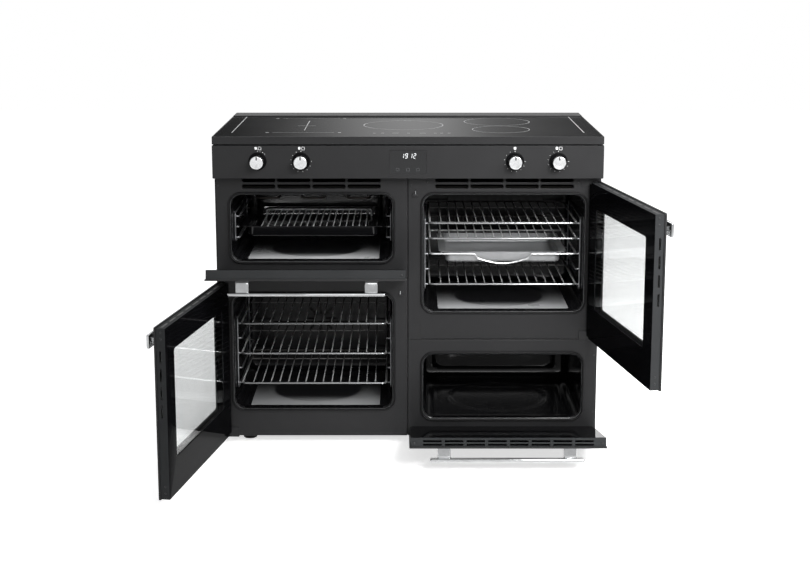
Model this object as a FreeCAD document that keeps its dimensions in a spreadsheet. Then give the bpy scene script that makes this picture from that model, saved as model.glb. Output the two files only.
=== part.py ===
import FreeCAD, Part
import math
import os
import Sketcher
from FreeCAD import Placement, Rotation, Vector

# A free-standing range cooker, 1100 mm wide, with a glass induction hob, a
# control panel with a clock and four knobs, and four side-by-side and stacked
# cavities: a grill over an oven on the left, an oven over a slow oven on the
# right. Millimetres, +X right, +Y to the back, +Z up, floor at Z = 0.
# The doors stand open at rest, as in the photograph.

doc = FreeCAD.newDocument("RangeCooker")
sheet = doc.addObject("Spreadsheet::Sheet", "Sizes")

SIZES = {
    # the whole cooker
    "overall_width": 1100,
    "overall_depth": 600,
    "overall_height": 915,
    "foot_height": 26,
    "sheet_metal": 2,
    "enamelled_steel": 1.5,
    "clearance": 0.3,
    "running_fit": 0.05,
    # hob
    "hob_trim_height": 21.5,
    "hob_trim_lip": 3,
    "hob_ledge": 9,
    "hob_gap": 3.5,
    "hob_glass_thickness": 4,
    "rear_trim_depth": 108,
    "rear_trim_rise": 4,
    "vent_groove_width": 17,
    "vent_groove_depth": 2.5,
    "coil_thickness": 14,
    "coil_bore": 22,
    "flex_zone_inset": 250,
    "right_zone_inset": 279,
    "front_coil_setback": 175,
    "rear_coil_inset": 119,
    "flex_coil_slack": 13,
    "rear_coil_slack": 2,
    "front_coil_slack": 18,
    "centre_coil_radius": 116,
    "centre_coil_setback": 285,
    "power_module_width": 420,
    "power_module_depth": 260,
    "power_module_height": 55,
    # control panel
    "fascia_height": 93.5,
    "fascia_depth": 45,
    "knob_drop": 44.5,
    "knob_end_inset": 128,
    "knob_pitch": 122,
    "display_width": 105,
    "display_height": 67,
    "display_module_depth": 22,
    "knob_radius": 18.5,
    "knob_sides": 24,
    "knob_soft_edge": 2.3,
    "knob_reach": 38,
    "knob_notch_width": 3,
    "knob_notch_depth": 1.2,
    "spindle_radius": 3,
    "spindle_length": 24,
    "bezel_radius": 25.5,
    "bezel_thickness": 3,
    "switch_width": 42,
    "switch_depth": 26,
    # front frames and cavities
    "frame_thickness": 12,
    "frame_joint": 0.5,
    "frame_split_rise": 3,
    "opening_margin": 46,
    "opening_radius": 28,
    "main_sill_margin": 79,
    "small_sill_margin": 52,
    "head_margin": 43,
    "service_space": 121,
    "dish_radius": 150,
    "dish_depth": 4,
    "emboss_width": 340,
    "emboss_margin": 42,
    "emboss_depth": 6,
    "insulation_thickness": 22,
    "vent_length": 93.5,
    "vent_height": 11.4,
    "vent_pitch": 100,
    "vent_row_pitch": 18.6,
    "vent_drop": 10.9,
    "vent_count": 4,
    "seal_width": 6,
    "seal_margin": 3.5,
    # doors
    "door_side_gap": 3.5,
    "door_thickness": 30,
    "door_radius": 4,
    "seal_gap": 7,
    "skin_thickness": 5,
    "skin_overhang": 3,
    "liner_wall": 2,
    # a tall and a low door share the height of their stack in these two parts
    "main_door_part": 460,
    "small_door_part": 285,
    "door_head_gap": 11.5,
    "door_gap": 7,
    "left_door_rise": 7,
    "slow_door_rise": 4,
    "hinge_edge": 14,
    "hinge_rise": 15,
    "side_door_angle": 100.4,
    "drop_door_angle": 78,
    "window_side_margin": 66.5,
    "window_top_margin": 71,
    "window_foot_margin": 99,
    "window_radius": 8,
    "pane_border": 10,
    "inner_pane_thickness": 4,
    "outer_pane_thickness": 3,
    "handle_end_margin": 57.5,
    "handle_height": 38,
    "handle_bar_thickness": 9,
    "handle_reach": 42,
    "handle_drop": 55,
    "handle_foot_width": 36,
    "handle_foot_height": 13,
    "handle_foot_inset": 39,
    "edge_slot_length": 32,
    "edge_slot_width": 5,
    "edge_slot_pitch": 48,
    "edge_slot_start": 62,
    "edge_slot_count": 4,
    "top_slot_length": 51,
    "top_slot_pitch": 59.5,
    "top_slot_count": 8,
    # hinges and catches
    "pin_radius": 3,
    "pin_depth": 10,
    "lug_half_width": 6,
    "lug_thickness": 4,
    "hinge_plate_width": 44,
    "hinge_plate_thickness": 2.5,
    "hinge_plate_height": 30,
    "hinge_block": 22,
    "striker_width": 14,
    "striker_reach": 5,
    "corner_plate_inset": 1.6,
    "corner_plate_width": 36,
    "corner_plate_height": 45,
    "corner_plate_thickness": 1.5,
    # facets of what is round on the real cooker
    "corner_sides": 3,
    "hole_sides": 8,
    "disc_sides": 16,
    # wire work
    "frame_wire": 2.6,
    "rod_wire": 1.6,
    "rail_wire": 2.5,
    "shelf_side_gap": 15,
    "shelf_front_inset": 30,
    "rod_count": 15,
    "rod_end_gap": 34.8,
    "runner_inset": 15.5,
    "upright_inset": 3.5,
    "rail_end_inset": 45,
    "rail_levels": 5,
    "rail_pitch": 45,
    "grill_rail_levels": 3,
    "grill_rail_pitch": 31,
    "left_rail_base": 60,
    "right_rail_base": 66,
    "grill_rail_base": 57,
    # fans and elements
    "fan_radius": 62,
    "fan_hub_radius": 12,
    "fan_blades": 10,
    "fan_blade_width": 9,
    "fan_blade_thickness": 1.2,
    "fan_plate_thickness": 1,
    "fan_shaft_radius": 4,
    "fan_cover_width": 300,
    "fan_cover_margin": 40,
    "fan_cover_depth": 20,
    "intake_radius": 48,
    "intake_count": 8,
    "intake_slot_width": 6,
    "motor_radius": 38,
    "motor_length": 50,
    "ring_element_radius": 82,
    "element_radius": 3.3,
    "grill_element_drop": 20,
    "grill_element_width": 330,
    "grill_element_legs": 6,
    "grill_element_front": 60,
    # roasting tray and grill pan
    "roaster_side_gap": 29,
    "roaster_back_gap": 64,
    "roaster_wall_height": 24,
    "roaster_bail_half_width": 84,
    "roaster_bail_dip": 28,
    "roaster_bail_bends": 6,
    "pan_side_gap": 26,
    "pan_back_gap": 40,
    "pan_wall_height": 30,
    "pan_front_inset": 42,
    "pan_radius": 18,
    "trivet_side_gap": 23,
    "trivet_end_gap": 19,
    "trivet_rise": 22,
    "trivet_rods": 17,
    "trivet_rod_inset": 13,
    # feet and back
    "foot_radius": 20,
    "foot_pad_thickness": 6,
    "stem_radius": 6,
    "foot_side_inset": 80,
    "foot_front_inset": 115,
    "foot_rear_inset": 60,
    "rear_clearance": 14,
    "base_flange": 20,
    "side_flange": 20,
    "back_vent_length": 60,
    "back_vent_height": 8,
    "back_vent_pitch": 84,
    "back_vent_count": 12,
    "back_vent_drop": 40,
    "terminal_width": 120,
    "terminal_height": 80,
    "terminal_x": 380,
    "terminal_z": 150,
}

for row, (alias, number_set) in enumerate(SIZES.items(), start=1):
    sheet.set(f"A{row}", alias)
    sheet.set(f"B{row}", str(number_set))
    sheet.setAlias(f"B{row}", alias)
doc.recompute()


class Size:
    """A length held both as a number and as the sheet expression it comes from."""

    def __init__(self, number, text):
        self.number = number
        self.text = text

    def __add__(self, other):
        return joined(self, "+", other, self.number + number(other))

    def __radd__(self, other):
        return joined(other, "+", self, number(other) + self.number)

    def __sub__(self, other):
        return joined(self, "-", other, self.number - number(other))

    def __rsub__(self, other):
        return joined(other, "-", self, number(other) - self.number)

    def __mul__(self, other):
        return joined(self, "*", other, self.number * number(other))

    def __rmul__(self, other):
        return joined(other, "*", self, number(other) * self.number)

    def __truediv__(self, other):
        return joined(self, "/", other, self.number / number(other))

    def __neg__(self):
        return Size(-self.number, f"(0 - {self.text})")


def number(value):
    return value.number if isinstance(value, Size) else float(value)


def text(value):
    return value.text if isinstance(value, Size) else f"({float(value)})"


def joined(left, sign, right, result):
    return Size(result, f"({text(left)} {sign} {text(right)})")


class Sizes:
    """Gives each sheet alias as a Size, so Sizes().foot_height can be used in sums."""

    def __getattr__(self, alias):
        return Size(float(sheet.get(alias)), f"Sizes.{alias}")


S = Sizes()
NODES = {}

# ---------------------------------------------------------------- drawing helpers

# which way a sketch on each origin plane faces, along the axis that it is square to
FACING = {"XY": 1, "XZ": -1, "YZ": 1}


def bind(thing, prop, value):
    """Ties a property to the sheet, or sets it where the value is a plain number."""
    thing.setExpression(prop, text(value))


def move_to(thing, x, y, z):
    for axis, value in zip("xyz", (x, y, z)):
        bind(thing, f"Placement.Base.{axis}", value)


def new_body(label):
    body = doc.addObject("PartDesign::Body", label)
    body.Label = label
    return body


def origin_feature(body, role):
    return next(item for item in body.Origin.OriginFeatures if item.Role == role)


def new_sketch(body, plane, at=0):
    """A sketch on one of the body's origin planes, moved to `at` along its normal axis."""
    drawing = body.newObject("Sketcher::SketchObject", f"{body.Name}_sketch")
    drawing.AttachmentSupport = [(origin_feature(body, f"{plane}_Plane"), "")]
    drawing.MapMode = "FlatFace"
    bind(drawing, "AttachmentOffset.Base.z", at * FACING[plane])
    drawing.Visibility = False
    drawing.addProperty("App::PropertyString", "Plane")
    drawing.Plane = plane
    return drawing


def hold(drawing, kind, *what):
    """Adds a constraint whose last value is bound to the sheet."""
    *ends, value = what
    index = drawing.addConstraint(Sketcher.Constraint(kind, *ends, number(value)))
    if isinstance(value, Size):
        drawing.setExpression(f"Constraints[{index}]", value.text)


def hold_point(drawing, geometry, point, x, y):
    hold(drawing, "DistanceX", -1, 1, geometry, point, x)
    hold(drawing, "DistanceY", -1, 1, geometry, point, y)


def polyline(drawing, points):
    """A closed outline with straight sides."""
    spots = [Vector(number(x), number(y), 0) for x, y in points]
    lines = [
        drawing.addGeometry(Part.LineSegment(a, b), False)
        for a, b in zip(spots, spots[1:] + spots[:1])
    ]
    for here, following in zip(lines, lines[1:] + lines[:1]):
        drawing.addConstraint(Sketcher.Constraint("Coincident", here, 2, following, 1))
    for line, (x, y) in zip(lines, points):
        hold_point(drawing, line, 1, x, y)


def rectangle(drawing, left, right, low, high):
    polyline(drawing, [(left, low), (right, low), (right, high), (left, high)])


def slot_outline(drawing, left, right, low, high):
    """A slot whose corners are cut at 45 degrees, by three tenths of its width."""
    cut = (high - low) * 0.3
    points = [
        (left + cut, low),
        (right - cut, low),
        (right, low + cut),
        (right, high - cut),
        (right - cut, high),
        (left + cut, high),
        (left, high - cut),
        (left, low + cut),
    ]
    polyline(drawing, points)


def rounded_rectangle(drawing, left, right, low, high, radius):
    """A rectangle whose corners turn in a few straight facets that lie on a radius."""
    facets = int(number(S.corner_sides))
    middles = [
        (right - radius, low + radius),
        (right - radius, high - radius),
        (left + radius, high - radius),
        (left + radius, low + radius),
    ]
    points = []
    for corner, (x, y) in enumerate(middles):
        for step in range(facets + 1):
            turn = math.pi / 2 * (corner - 1 + step / facets)
            across = round(math.cos(turn), 6)
            up = round(math.sin(turn), 6)
            points.append((x + radius * across, y + radius * up))
    polyline(drawing, points)


def flat_sided(drawing, x, y, radius, side_count):
    """A regular polygon whose corners lie on a radius."""
    sides = int(number(side_count))
    cx, cy, r = number(x), number(y), number(radius)
    guide = Part.Circle(Vector(cx, cy, 0), Vector(0, 0, 1), r)
    ring = drawing.addGeometry(guide, True)
    turns = [2 * math.pi * i / sides for i in range(sides)]
    spots = [Vector(cx + r * math.cos(a), cy + r * math.sin(a), 0) for a in turns]
    lines = [
        drawing.addGeometry(Part.LineSegment(a, b), False)
        for a, b in zip(spots, spots[1:] + spots[:1])
    ]
    for here, following in zip(lines, lines[1:] + lines[:1]):
        drawing.addConstraint(Sketcher.Constraint("Coincident", here, 2, following, 1))
        drawing.addConstraint(Sketcher.Constraint("PointOnObject", here, 1, ring))
    for here, following in zip(lines, lines[1:]):
        drawing.addConstraint(Sketcher.Constraint("Equal", here, following))
    hold(drawing, "Radius", ring, radius)
    hold_point(drawing, ring, 3, x, y)
    drawing.addConstraint(Sketcher.Constraint("Horizontal", lines[0], 1, ring, 3))


def feature(body, kind, drawing, length=None, reversed_when=None):
    item = body.newObject(f"PartDesign::{kind}", f"{body.Name}_{kind.lower()}")
    item.Profile = drawing
    if length is not None:
        bind(item, "Length", length)
    if reversed_when is not None:
        item.Reversed = reversed_when
    return item


def pad(body, drawing, length, toward):
    """Grows the outline along its axis, toward +1 or -1."""
    return feature(body, "Pad", drawing, length, toward * FACING[drawing.Plane] < 0)


def pocket(body, drawing, length, toward):
    """Cuts the outline along its axis, toward +1 or -1."""
    return feature(body, "Pocket", drawing, length, toward * FACING[drawing.Plane] > 0)


def slab(body, plane, at, toward, thickness, left, right, low, high, radius=None):
    """A plate: a rectangle on a plane, rounded where a radius is given, and padded."""
    drawing = new_sketch(body, plane, at)
    if radius is None:
        rectangle(drawing, left, right, low, high)
    else:
        rounded_rectangle(drawing, left, right, low, high, radius)
    return pad(body, drawing, thickness, toward)


def recess(body, plane, at, toward, depth, left, right, low, high, radius=None):
    """The same outline, cut away."""
    drawing = new_sketch(body, plane, at)
    if radius is None:
        rectangle(drawing, left, right, low, high)
    else:
        rounded_rectangle(drawing, left, right, low, high, radius)
    return pocket(body, drawing, depth, toward)


def bored(body, plane, at, toward, depth, x, y, radius, side_count=None):
    drawing = new_sketch(body, plane, at)
    flat_sided(drawing, x, y, radius, side_count or S.hole_sides)
    return pocket(body, drawing, depth, toward)


def turned(body, plane, start, end, x, y, radius, side_count=None):
    """A straight round piece square to a plane, from one place on its axis to another."""
    drawing = new_sketch(body, plane, start)
    flat_sided(drawing, x, y, radius, side_count or S.hole_sides)
    return pad(body, drawing, end - start, 1)


def wire(body, plane, start, end, x, y, radius):
    """A straight wire square to a plane. It is square in section, as wide as it is thick."""
    sides = (x - radius, x + radius, y - radius, y + radius)
    return slab(body, plane, start, 1, end - start, *sides)


def row_of(body, items, axis, pitch, count, reverse=False):
    """Repeats features along an axis of the body, at a pitch."""
    pattern = body.newObject("PartDesign::LinearPattern", f"{body.Name}_row")
    pattern.Originals = items
    pattern.Direction = (origin_feature(body, f"{axis}_Axis"), [""])
    pattern.Reversed = reverse
    bind(pattern, "Length", pitch * (count - 1))
    bind(pattern, "Occurrences", count)
    body.Tip = pattern
    return pattern


def around(body, items, axis, count):
    """Repeats features in a full circle about an axis of the body."""
    pattern = body.newObject("PartDesign::PolarPattern", f"{body.Name}_circle")
    pattern.Originals = items
    pattern.Axis = (origin_feature(body, f"{axis}_Axis"), [""])
    pattern.Angle = 360
    bind(pattern, "Occurrences", count)
    body.Tip = pattern
    return pattern


def box(name, left, right, front, back, low, high):
    item = doc.addObject("Part::Box", name)
    bind(item, "Length", right - left)
    bind(item, "Width", back - front)
    bind(item, "Height", high - low)
    move_to(item, left, front, low)
    return item


TURN_TO = {
    "X": Rotation(Vector(0, 1, 0), 90),
    "Y": Rotation(Vector(1, 0, 0), -90),
    "Z": Rotation(),
}


def prism(name, axis, x, y, z, length, radius, side_count):
    """A flat-sided piece with its corners on a radius, from a point toward + on an axis."""
    item = doc.addObject("Part::Prism", name)
    item.Placement = Placement(Vector(), TURN_TO[axis])
    bind(item, "Polygon", side_count)
    bind(item, "Circumradius", radius)
    bind(item, "Height", length)
    move_to(item, x, y, z)
    return item


def combined(kind, name, shapes):
    item = doc.addObject(f"Part::{kind}", name)
    if kind == "Compound":
        item.Links = shapes
    elif kind == "MultiFuse":
        item.Shapes = shapes
    else:
        item.Base, item.Tool = shapes
    return item


def node(name, thing):
    """Names a finished piece; its label is its file's name."""
    thing.Label = name
    NODES[name] = thing
    return thing


# ---------------------------------------------------------------- levels and planes

half_width = S.overall_width / 2
column = S.overall_width / 4
front = -S.overall_depth / 2
rear = S.overall_depth / 2
hob_bottom = S.overall_height - S.hob_trim_height
fascia_top = hob_bottom - S.hob_gap
fascia_bottom = fascia_top - S.fascia_height
face = front + S.fascia_depth
frame_back = face + S.frame_thickness
back_plane = rear - S.rear_clearance
back_inner = back_plane - S.sheet_metal
cavity_back = back_plane - S.service_space
door_inner_face = face - S.seal_gap
hinge_y = door_inner_face - S.door_thickness / 2
half_opening = column - S.opening_margin
glass_bottom = S.overall_height - S.hob_glass_thickness
pan_floor_top = hob_bottom + S.enamelled_steel

# the doors, stacked two to a column between the foot and the control panel
doors_top = fascia_bottom - S.door_head_gap
left_door_bottom = S.foot_height + S.left_door_rise
slow_door_bottom = S.foot_height + S.slow_door_rise
door_stack = doors_top - left_door_bottom - S.door_gap
main_part = S.main_door_part / (S.main_door_part + S.small_door_part)
main_door_height = door_stack * main_part
small_door_height = door_stack - main_door_height
grill_door_bottom = doors_top - small_door_height
right_door_bottom = doors_top - main_door_height
left_split = left_door_bottom + main_door_height + S.frame_split_rise
right_split = slow_door_bottom + small_door_height + S.frame_split_rise
door_width = 2 * (column - S.door_side_gap)

main_opening = main_door_height - S.main_sill_margin - S.head_margin
small_opening = small_door_height - S.small_sill_margin - S.head_margin

# a flat-sided hole's corners stand out by this much from the round that fits in it
hole_fit = 1 / math.cos(math.pi / number(S.hole_sides))
disc_fit = 1 / math.cos(math.pi / number(S.disc_sides))

# name: which column, sill height, opening height and whether it has a fan
CAVITIES = {
    "grill": (-1, grill_door_bottom + S.small_sill_margin, small_opening, False),
    "left_oven": (-1, left_door_bottom + S.main_sill_margin, main_opening, True),
    "right_oven": (1, right_door_bottom + S.main_sill_margin, main_opening, True),
    "slow_oven": (1, slow_door_bottom + S.small_sill_margin, small_opening, False),
}

# ---------------------------------------------------------------- cabinet


def make_base_tray():
    body = new_body("base_tray")
    inside = half_width - S.sheet_metal
    low = S.foot_height
    slab(body, "XY", low, 1, S.base_flange, -inside, inside, frame_back, back_inner)
    wall = S.sheet_metal
    recess(
        body,
        "XY",
        low + wall,
        1,
        S.base_flange,
        wall - inside,
        inside - wall,
        frame_back + wall,
        back_inner - wall,
    )
    node("base_tray", body)


def make_side_panel(name, side):
    """A folded sheet: the flank, and a flange along the back that the back panel meets."""
    body = new_body(name)
    drawing = new_sketch(body, "XY", S.foot_height)
    outer = side * half_width
    inner = side * (half_width - S.sheet_metal)
    lip = side * (half_width - S.side_flange)
    fold = back_inner - S.sheet_metal
    outline = [
        (outer, face),
        (outer, back_inner),
        (lip, back_inner),
        (lip, fold),
        (inner, fold),
        (inner, face),
    ]
    polyline(drawing, outline)
    pad(body, drawing, hob_bottom - S.foot_height, 1)
    # the flange is cut away at the foot, where the base tray stands
    recess(
        body,
        "XY",
        S.foot_height,
        1,
        S.base_flange + S.clearance,
        inner if side < 0 else lip,
        lip if side < 0 else inner,
        fold - S.clearance,
        back_inner,
    )
    node(name, body)


def make_back_panel():
    body = new_body("back_panel")
    slab(
        body,
        "XZ",
        back_inner,
        1,
        S.sheet_metal,
        -half_width,
        half_width,
        S.foot_height,
        hob_bottom,
    )
    slab(
        body,
        "XZ",
        back_plane,
        1,
        S.rear_clearance - S.clearance,
        S.terminal_x - S.terminal_width / 2,
        S.terminal_x + S.terminal_width / 2,
        S.terminal_z,
        S.terminal_z + S.terminal_height,
    )
    first = -S.back_vent_pitch * (S.back_vent_count - 1) / 2
    top = hob_bottom - S.back_vent_drop
    slot = recess(
        body,
        "XZ",
        back_inner,
        1,
        S.sheet_metal,
        first - S.back_vent_length / 2,
        first + S.back_vent_length / 2,
        top - S.back_vent_height,
        top,
    )
    row_of(body, [slot], "X", S.back_vent_pitch, S.back_vent_count)
    node("back_panel", body)


def make_feet():
    feet = []
    places = [
        (side, y)
        for side in (-1, 1)
        for y in (front + S.foot_front_inset, rear - S.foot_rear_inset)
    ]
    for index, (side, y) in enumerate(places):
        x = side * (half_width - S.foot_side_inset)
        pad_place = (x, y, 0, S.foot_pad_thickness)
        pad_disc = prism(f"foot_pad_{index}", "Z", *pad_place, S.foot_radius, S.disc_sides)
        place = (x, y, 0, S.foot_height)
        stem = prism(f"stem_{index}", "Z", *place, S.stem_radius, S.hole_sides)
        feet.append(combined("MultiFuse", f"foot_{index}", [pad_disc, stem]))
    node("levelling_feet", combined("Compound", "levelling_feet", feet))


# ---------------------------------------------------------------- front frames and cavities


def make_front(name, cavity, low, high, vented):
    """The pressed front frame round one opening, with its cooling vents."""
    side, sill, height, _ = CAVITIES[cavity]
    body = new_body(name)
    middle = side * column
    near = side * S.frame_joint / 2
    far = side * (half_width - S.sheet_metal)
    left, right = (far, near) if side < 0 else (near, far)
    slab(body, "XZ", face, 1, S.frame_thickness, left, right, low, high)
    recess(
        body,
        "XZ",
        face,
        1,
        S.frame_thickness,
        middle - half_opening,
        middle + half_opening,
        sill,
        sill + height,
        S.opening_radius,
    )
    if vented:
        first = middle - S.vent_pitch * (S.vent_count - 1) / 2
        for line in (0, 1):
            top = high - S.vent_drop / 2 - S.vent_row_pitch * line
            drawing = new_sketch(body, "XZ", face)
            ends = (first - S.vent_length / 2, first + S.vent_length / 2)
            slot_outline(drawing, *ends, top - S.vent_height, top)
            slot = pocket(body, drawing, S.frame_thickness, 1)
            row_of(body, [slot], "X", S.vent_pitch, S.vent_count)
    node(name, body)


def make_cavity(name):
    """A pressed, enamelled liner: its floor holds a round dish over a square bulge, and its
    back an embossed panel or the hole for a fan's shaft."""
    side, sill, height, fan = CAVITIES[name]
    body = new_body(f"{name}_cavity")
    wall = S.enamelled_steel
    middle = side * column
    half = half_opening
    top = sill + height
    depth = cavity_back - frame_back
    dish_y = (frame_back + cavity_back) / 2
    slab(
        body,
        "XZ",
        frame_back,
        1,
        depth + wall,
        middle - half - wall,
        middle + half + wall,
        sill - wall,
        top + wall,
        S.opening_radius + wall,
    )
    drop = S.dish_depth
    bulge = S.dish_radius + wall
    slab(
        body,
        "XY",
        sill - drop - wall,
        1,
        drop,
        middle - bulge,
        middle + bulge,
        dish_y - bulge,
        dish_y + bulge,
    )
    if not fan:
        slab(
            body,
            "XZ",
            cavity_back + wall,
            1,
            S.emboss_depth,
            middle - S.emboss_width / 2 - wall,
            middle + S.emboss_width / 2 + wall,
            sill + S.emboss_margin - wall,
            top - S.emboss_margin + wall,
            S.opening_radius + wall,
        )
    recess(
        body,
        "XZ",
        frame_back,
        1,
        depth,
        middle - half,
        middle + half,
        sill,
        top,
        S.opening_radius,
    )
    bored(body, "XY", sill, -1, drop, middle, dish_y, S.dish_radius, S.knob_sides)
    if fan:
        shaft_hole = (S.fan_shaft_radius + S.clearance) * hole_fit
        bored(body, "XZ", cavity_back, 1, wall, middle, sill + height / 2, shaft_hole)
    else:
        recess(
            body,
            "XZ",
            cavity_back,
            1,
            S.emboss_depth,
            middle - S.emboss_width / 2,
            middle + S.emboss_width / 2,
            sill + S.emboss_margin,
            top - S.emboss_margin,
            S.opening_radius,
        )
    node(f"{name}_cavity", body)


def make_insulation():
    """Mineral wool round each liner, open at the front and, behind a fan, at the motor."""
    jackets = []
    for name, (side, sill, height, fan) in CAVITIES.items():
        body = new_body(f"{name}_insulation")
        middle = side * column
        inner = half_opening + S.enamelled_steel + S.clearance
        outer = inner + S.insulation_thickness
        low = sill - S.dish_depth - S.enamelled_steel - S.clearance
        high = sill + height + S.enamelled_steel + S.clearance
        inside_back = cavity_back + S.enamelled_steel + S.emboss_depth + S.clearance
        slab(
            body,
            "XZ",
            frame_back + S.clearance,
            1,
            inside_back + S.insulation_thickness - frame_back - S.clearance,
            middle - outer,
            middle + outer,
            low - S.insulation_thickness,
            high + S.insulation_thickness,
        )
        recess(
            body,
            "XZ",
            frame_back + S.clearance,
            1,
            inside_back - frame_back - S.clearance,
            middle - inner,
            middle + inner,
            low,
            high,
        )
        if fan:
            hole = (S.motor_radius + S.clearance) * disc_fit
            place = (middle, sill + height / 2, hole, S.disc_sides)
            bored(body, "XZ", inside_back, 1, S.insulation_thickness, *place)
        jackets.append(body)
    node("insulation", combined("Compound", "insulation", jackets))


def make_seals():
    """A soft lip round each opening, on the front frame, that a closed door just meets."""
    lips = []
    for name, (side, sill, height, _) in CAVITIES.items():
        body = new_body(f"{name}_seal")
        middle = side * column
        drawing = new_sketch(body, "XZ", face)
        for reach in (S.seal_margin, S.seal_margin + S.seal_width):
            rounded_rectangle(
                drawing,
                middle - half_opening - reach,
                middle + half_opening + reach,
                sill - reach,
                sill + height + reach,
                S.opening_radius + reach,
            )
        pad(body, drawing, S.seal_gap - S.clearance, -1)
        lips.append(body)
    node("oven_seals", combined("Compound", "oven_seals", lips))


# ---------------------------------------------------------------- hob


def make_hob():
    glass_back = rear - S.rear_trim_depth
    tray = new_body("hob_frame")
    slab(
        tray,
        "XY",
        hob_bottom,
        1,
        S.hob_trim_height,
        -half_width,
        half_width,
        front,
        rear,
        S.hob_trim_lip,
    )
    lip = S.hob_trim_lip
    recess(
        tray,
        "XY",
        S.overall_height,
        -1,
        S.hob_glass_thickness,
        lip - half_width,
        half_width - lip,
        front + lip,
        rear - lip,
    )
    ledge = lip + S.hob_ledge
    recess(
        tray,
        "XY",
        glass_bottom,
        -1,
        glass_bottom - pan_floor_top,
        ledge - half_width,
        half_width - ledge,
        front + ledge,
        glass_back - S.hob_ledge,
    )
    node("hob_frame", tray)

    glass = new_body("hob_glass")
    rim = lip + S.clearance
    slab(
        glass,
        "XY",
        glass_bottom,
        1,
        S.hob_glass_thickness,
        rim - half_width,
        half_width - rim,
        front + rim,
        glass_back - S.clearance,
        S.clearance * 4,
    )
    node("hob_glass", glass)

    trim = new_body("rear_trim")
    drawing = new_sketch(trim, "YZ", rim - half_width)
    top = S.overall_height
    groove_back = glass_back + S.vent_groove_width
    groove_low = top - S.vent_groove_depth
    outline = [
        (glass_back, glass_bottom),
        (rear - rim, glass_bottom),
        (rear - rim, top + S.rear_trim_rise),
        (groove_back, top + S.rear_trim_rise),
        (groove_back, groove_low),
        (glass_back + S.hob_trim_lip, groove_low),
        (glass_back + S.hob_trim_lip, top),
        (glass_back, top),
    ]
    polyline(drawing, outline)
    pad(trim, drawing, 2 * (half_width - rim), 1)
    node("rear_trim", trim)

    rear_setback = glass_back - front - S.rear_coil_inset
    reach = (rear_setback - S.front_coil_setback) / 2
    left_x = S.flex_zone_inset - half_width
    right_x = half_width - S.right_zone_inset
    zones = [
        (left_x, S.front_coil_setback, reach - S.flex_coil_slack),
        (left_x, rear_setback, reach - S.flex_coil_slack),
        (0, S.centre_coil_setback, S.centre_coil_radius),
        (right_x, rear_setback, reach - S.rear_coil_slack),
        (right_x, S.front_coil_setback, reach - S.front_coil_slack),
    ]
    coils = []
    for index, (x, setback, radius) in enumerate(zones):
        place = (x, front + setback, pan_floor_top, S.coil_thickness)
        disc = prism(f"coil_disc_{index}", "Z", *place, radius, S.disc_sides)
        bore = prism(f"coil_bore_{index}", "Z", *place, S.coil_bore, S.hole_sides)
        coils.append(combined("Cut", f"coil_{index}", [disc, bore]))
    node("induction_coils", combined("Compound", "induction_coils", coils))

    module = box(
        "power_module",
        -S.power_module_width / 2,
        S.power_module_width / 2,
        -S.power_module_depth / 2,
        S.power_module_depth / 2,
        hob_bottom - S.power_module_height,
        hob_bottom,
    )
    node("power_module", module)


# ---------------------------------------------------------------- control panel

knob_z = fascia_top - S.knob_drop
outer_knob_x = half_width - S.knob_end_inset
inner_knob_x = outer_knob_x - S.knob_pitch
KNOBS = {
    "knob_far_left": -outer_knob_x,
    "knob_left": -inner_knob_x,
    "knob_right": inner_knob_x,
    "knob_far_right": outer_knob_x,
}
display_z = fascia_top - S.fascia_height / 2


def make_control_panel():
    """A folded box, open behind, with the display's window and a hole for each spindle."""
    body = new_body("control_panel")
    slab(
        body,
        "XZ",
        front,
        1,
        S.fascia_depth,
        -half_width,
        half_width,
        fascia_bottom,
        fascia_top,
    )
    wall = S.sheet_metal
    recess(
        body,
        "XZ",
        front + wall,
        1,
        S.fascia_depth,
        wall - half_width,
        half_width - wall,
        fascia_bottom + wall,
        fascia_top - wall,
    )
    recess(
        body,
        "XZ",
        front,
        1,
        wall,
        -S.display_width / 2,
        S.display_width / 2,
        display_z - S.display_height / 2,
        display_z + S.display_height / 2,
    )
    spindle_hole = (S.spindle_radius + S.clearance) * hole_fit
    for x in KNOBS.values():
        bored(body, "XZ", front, 1, wall, x, knob_z, spindle_hole)
    node("control_panel", body)

    display = new_body("clock_display")
    gap = S.running_fit
    pane = (
        gap - S.display_width / 2,
        S.display_width / 2 - gap,
        display_z - S.display_height / 2 + gap,
        display_z + S.display_height / 2 - gap,
    )
    slab(display, "XZ", front, 1, wall, *pane)
    slab(
        display,
        "XZ",
        front + wall,
        1,
        S.display_module_depth,
        pane[0] - S.hob_ledge,
        pane[1] + S.hob_ledge,
        pane[2] - wall,
        pane[3] + wall,
    )
    node("clock_display", display)


def make_knobs():
    """The bezels, the switches behind the panel, and the knobs whose spindles turn them."""
    rings = []
    switches = []
    snug = (S.spindle_radius + S.running_fit) * hole_fit
    for name, x in KNOBS.items():
        place = (x, front - S.bezel_thickness, knob_z, S.bezel_thickness)
        disc = prism(f"{name}_disc", "Y", *place, S.bezel_radius, S.knob_sides)
        eye = prism(f"{name}_eye", "Y", *place, snug, S.hole_sides)
        rings.append(combined("Cut", f"{name}_bezel", [disc, eye]))
        inside = front + S.sheet_metal
        half = S.switch_width / 2
        case = box(
            f"{name}_case",
            x - half,
            x + half,
            inside,
            inside + S.switch_depth,
            knob_z - half,
            knob_z + half,
        )
        place = (x, inside, knob_z, S.spindle_length - S.sheet_metal + S.clearance)
        socket = prism(f"{name}_socket", "Y", *place, snug, S.hole_sides)
        switches.append(combined("Cut", f"{name}_switch", [case, socket]))
    node("knob_bezels", combined("Compound", "knob_bezels", rings))
    node("knob_switches", combined("Compound", "knob_switches", switches))

    caps = {name: make_knob_cap(name) for name in KNOBS}
    doc.recompute()
    for name, cap in caps.items():
        finish_knob(name, cap, KNOBS[name])


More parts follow.
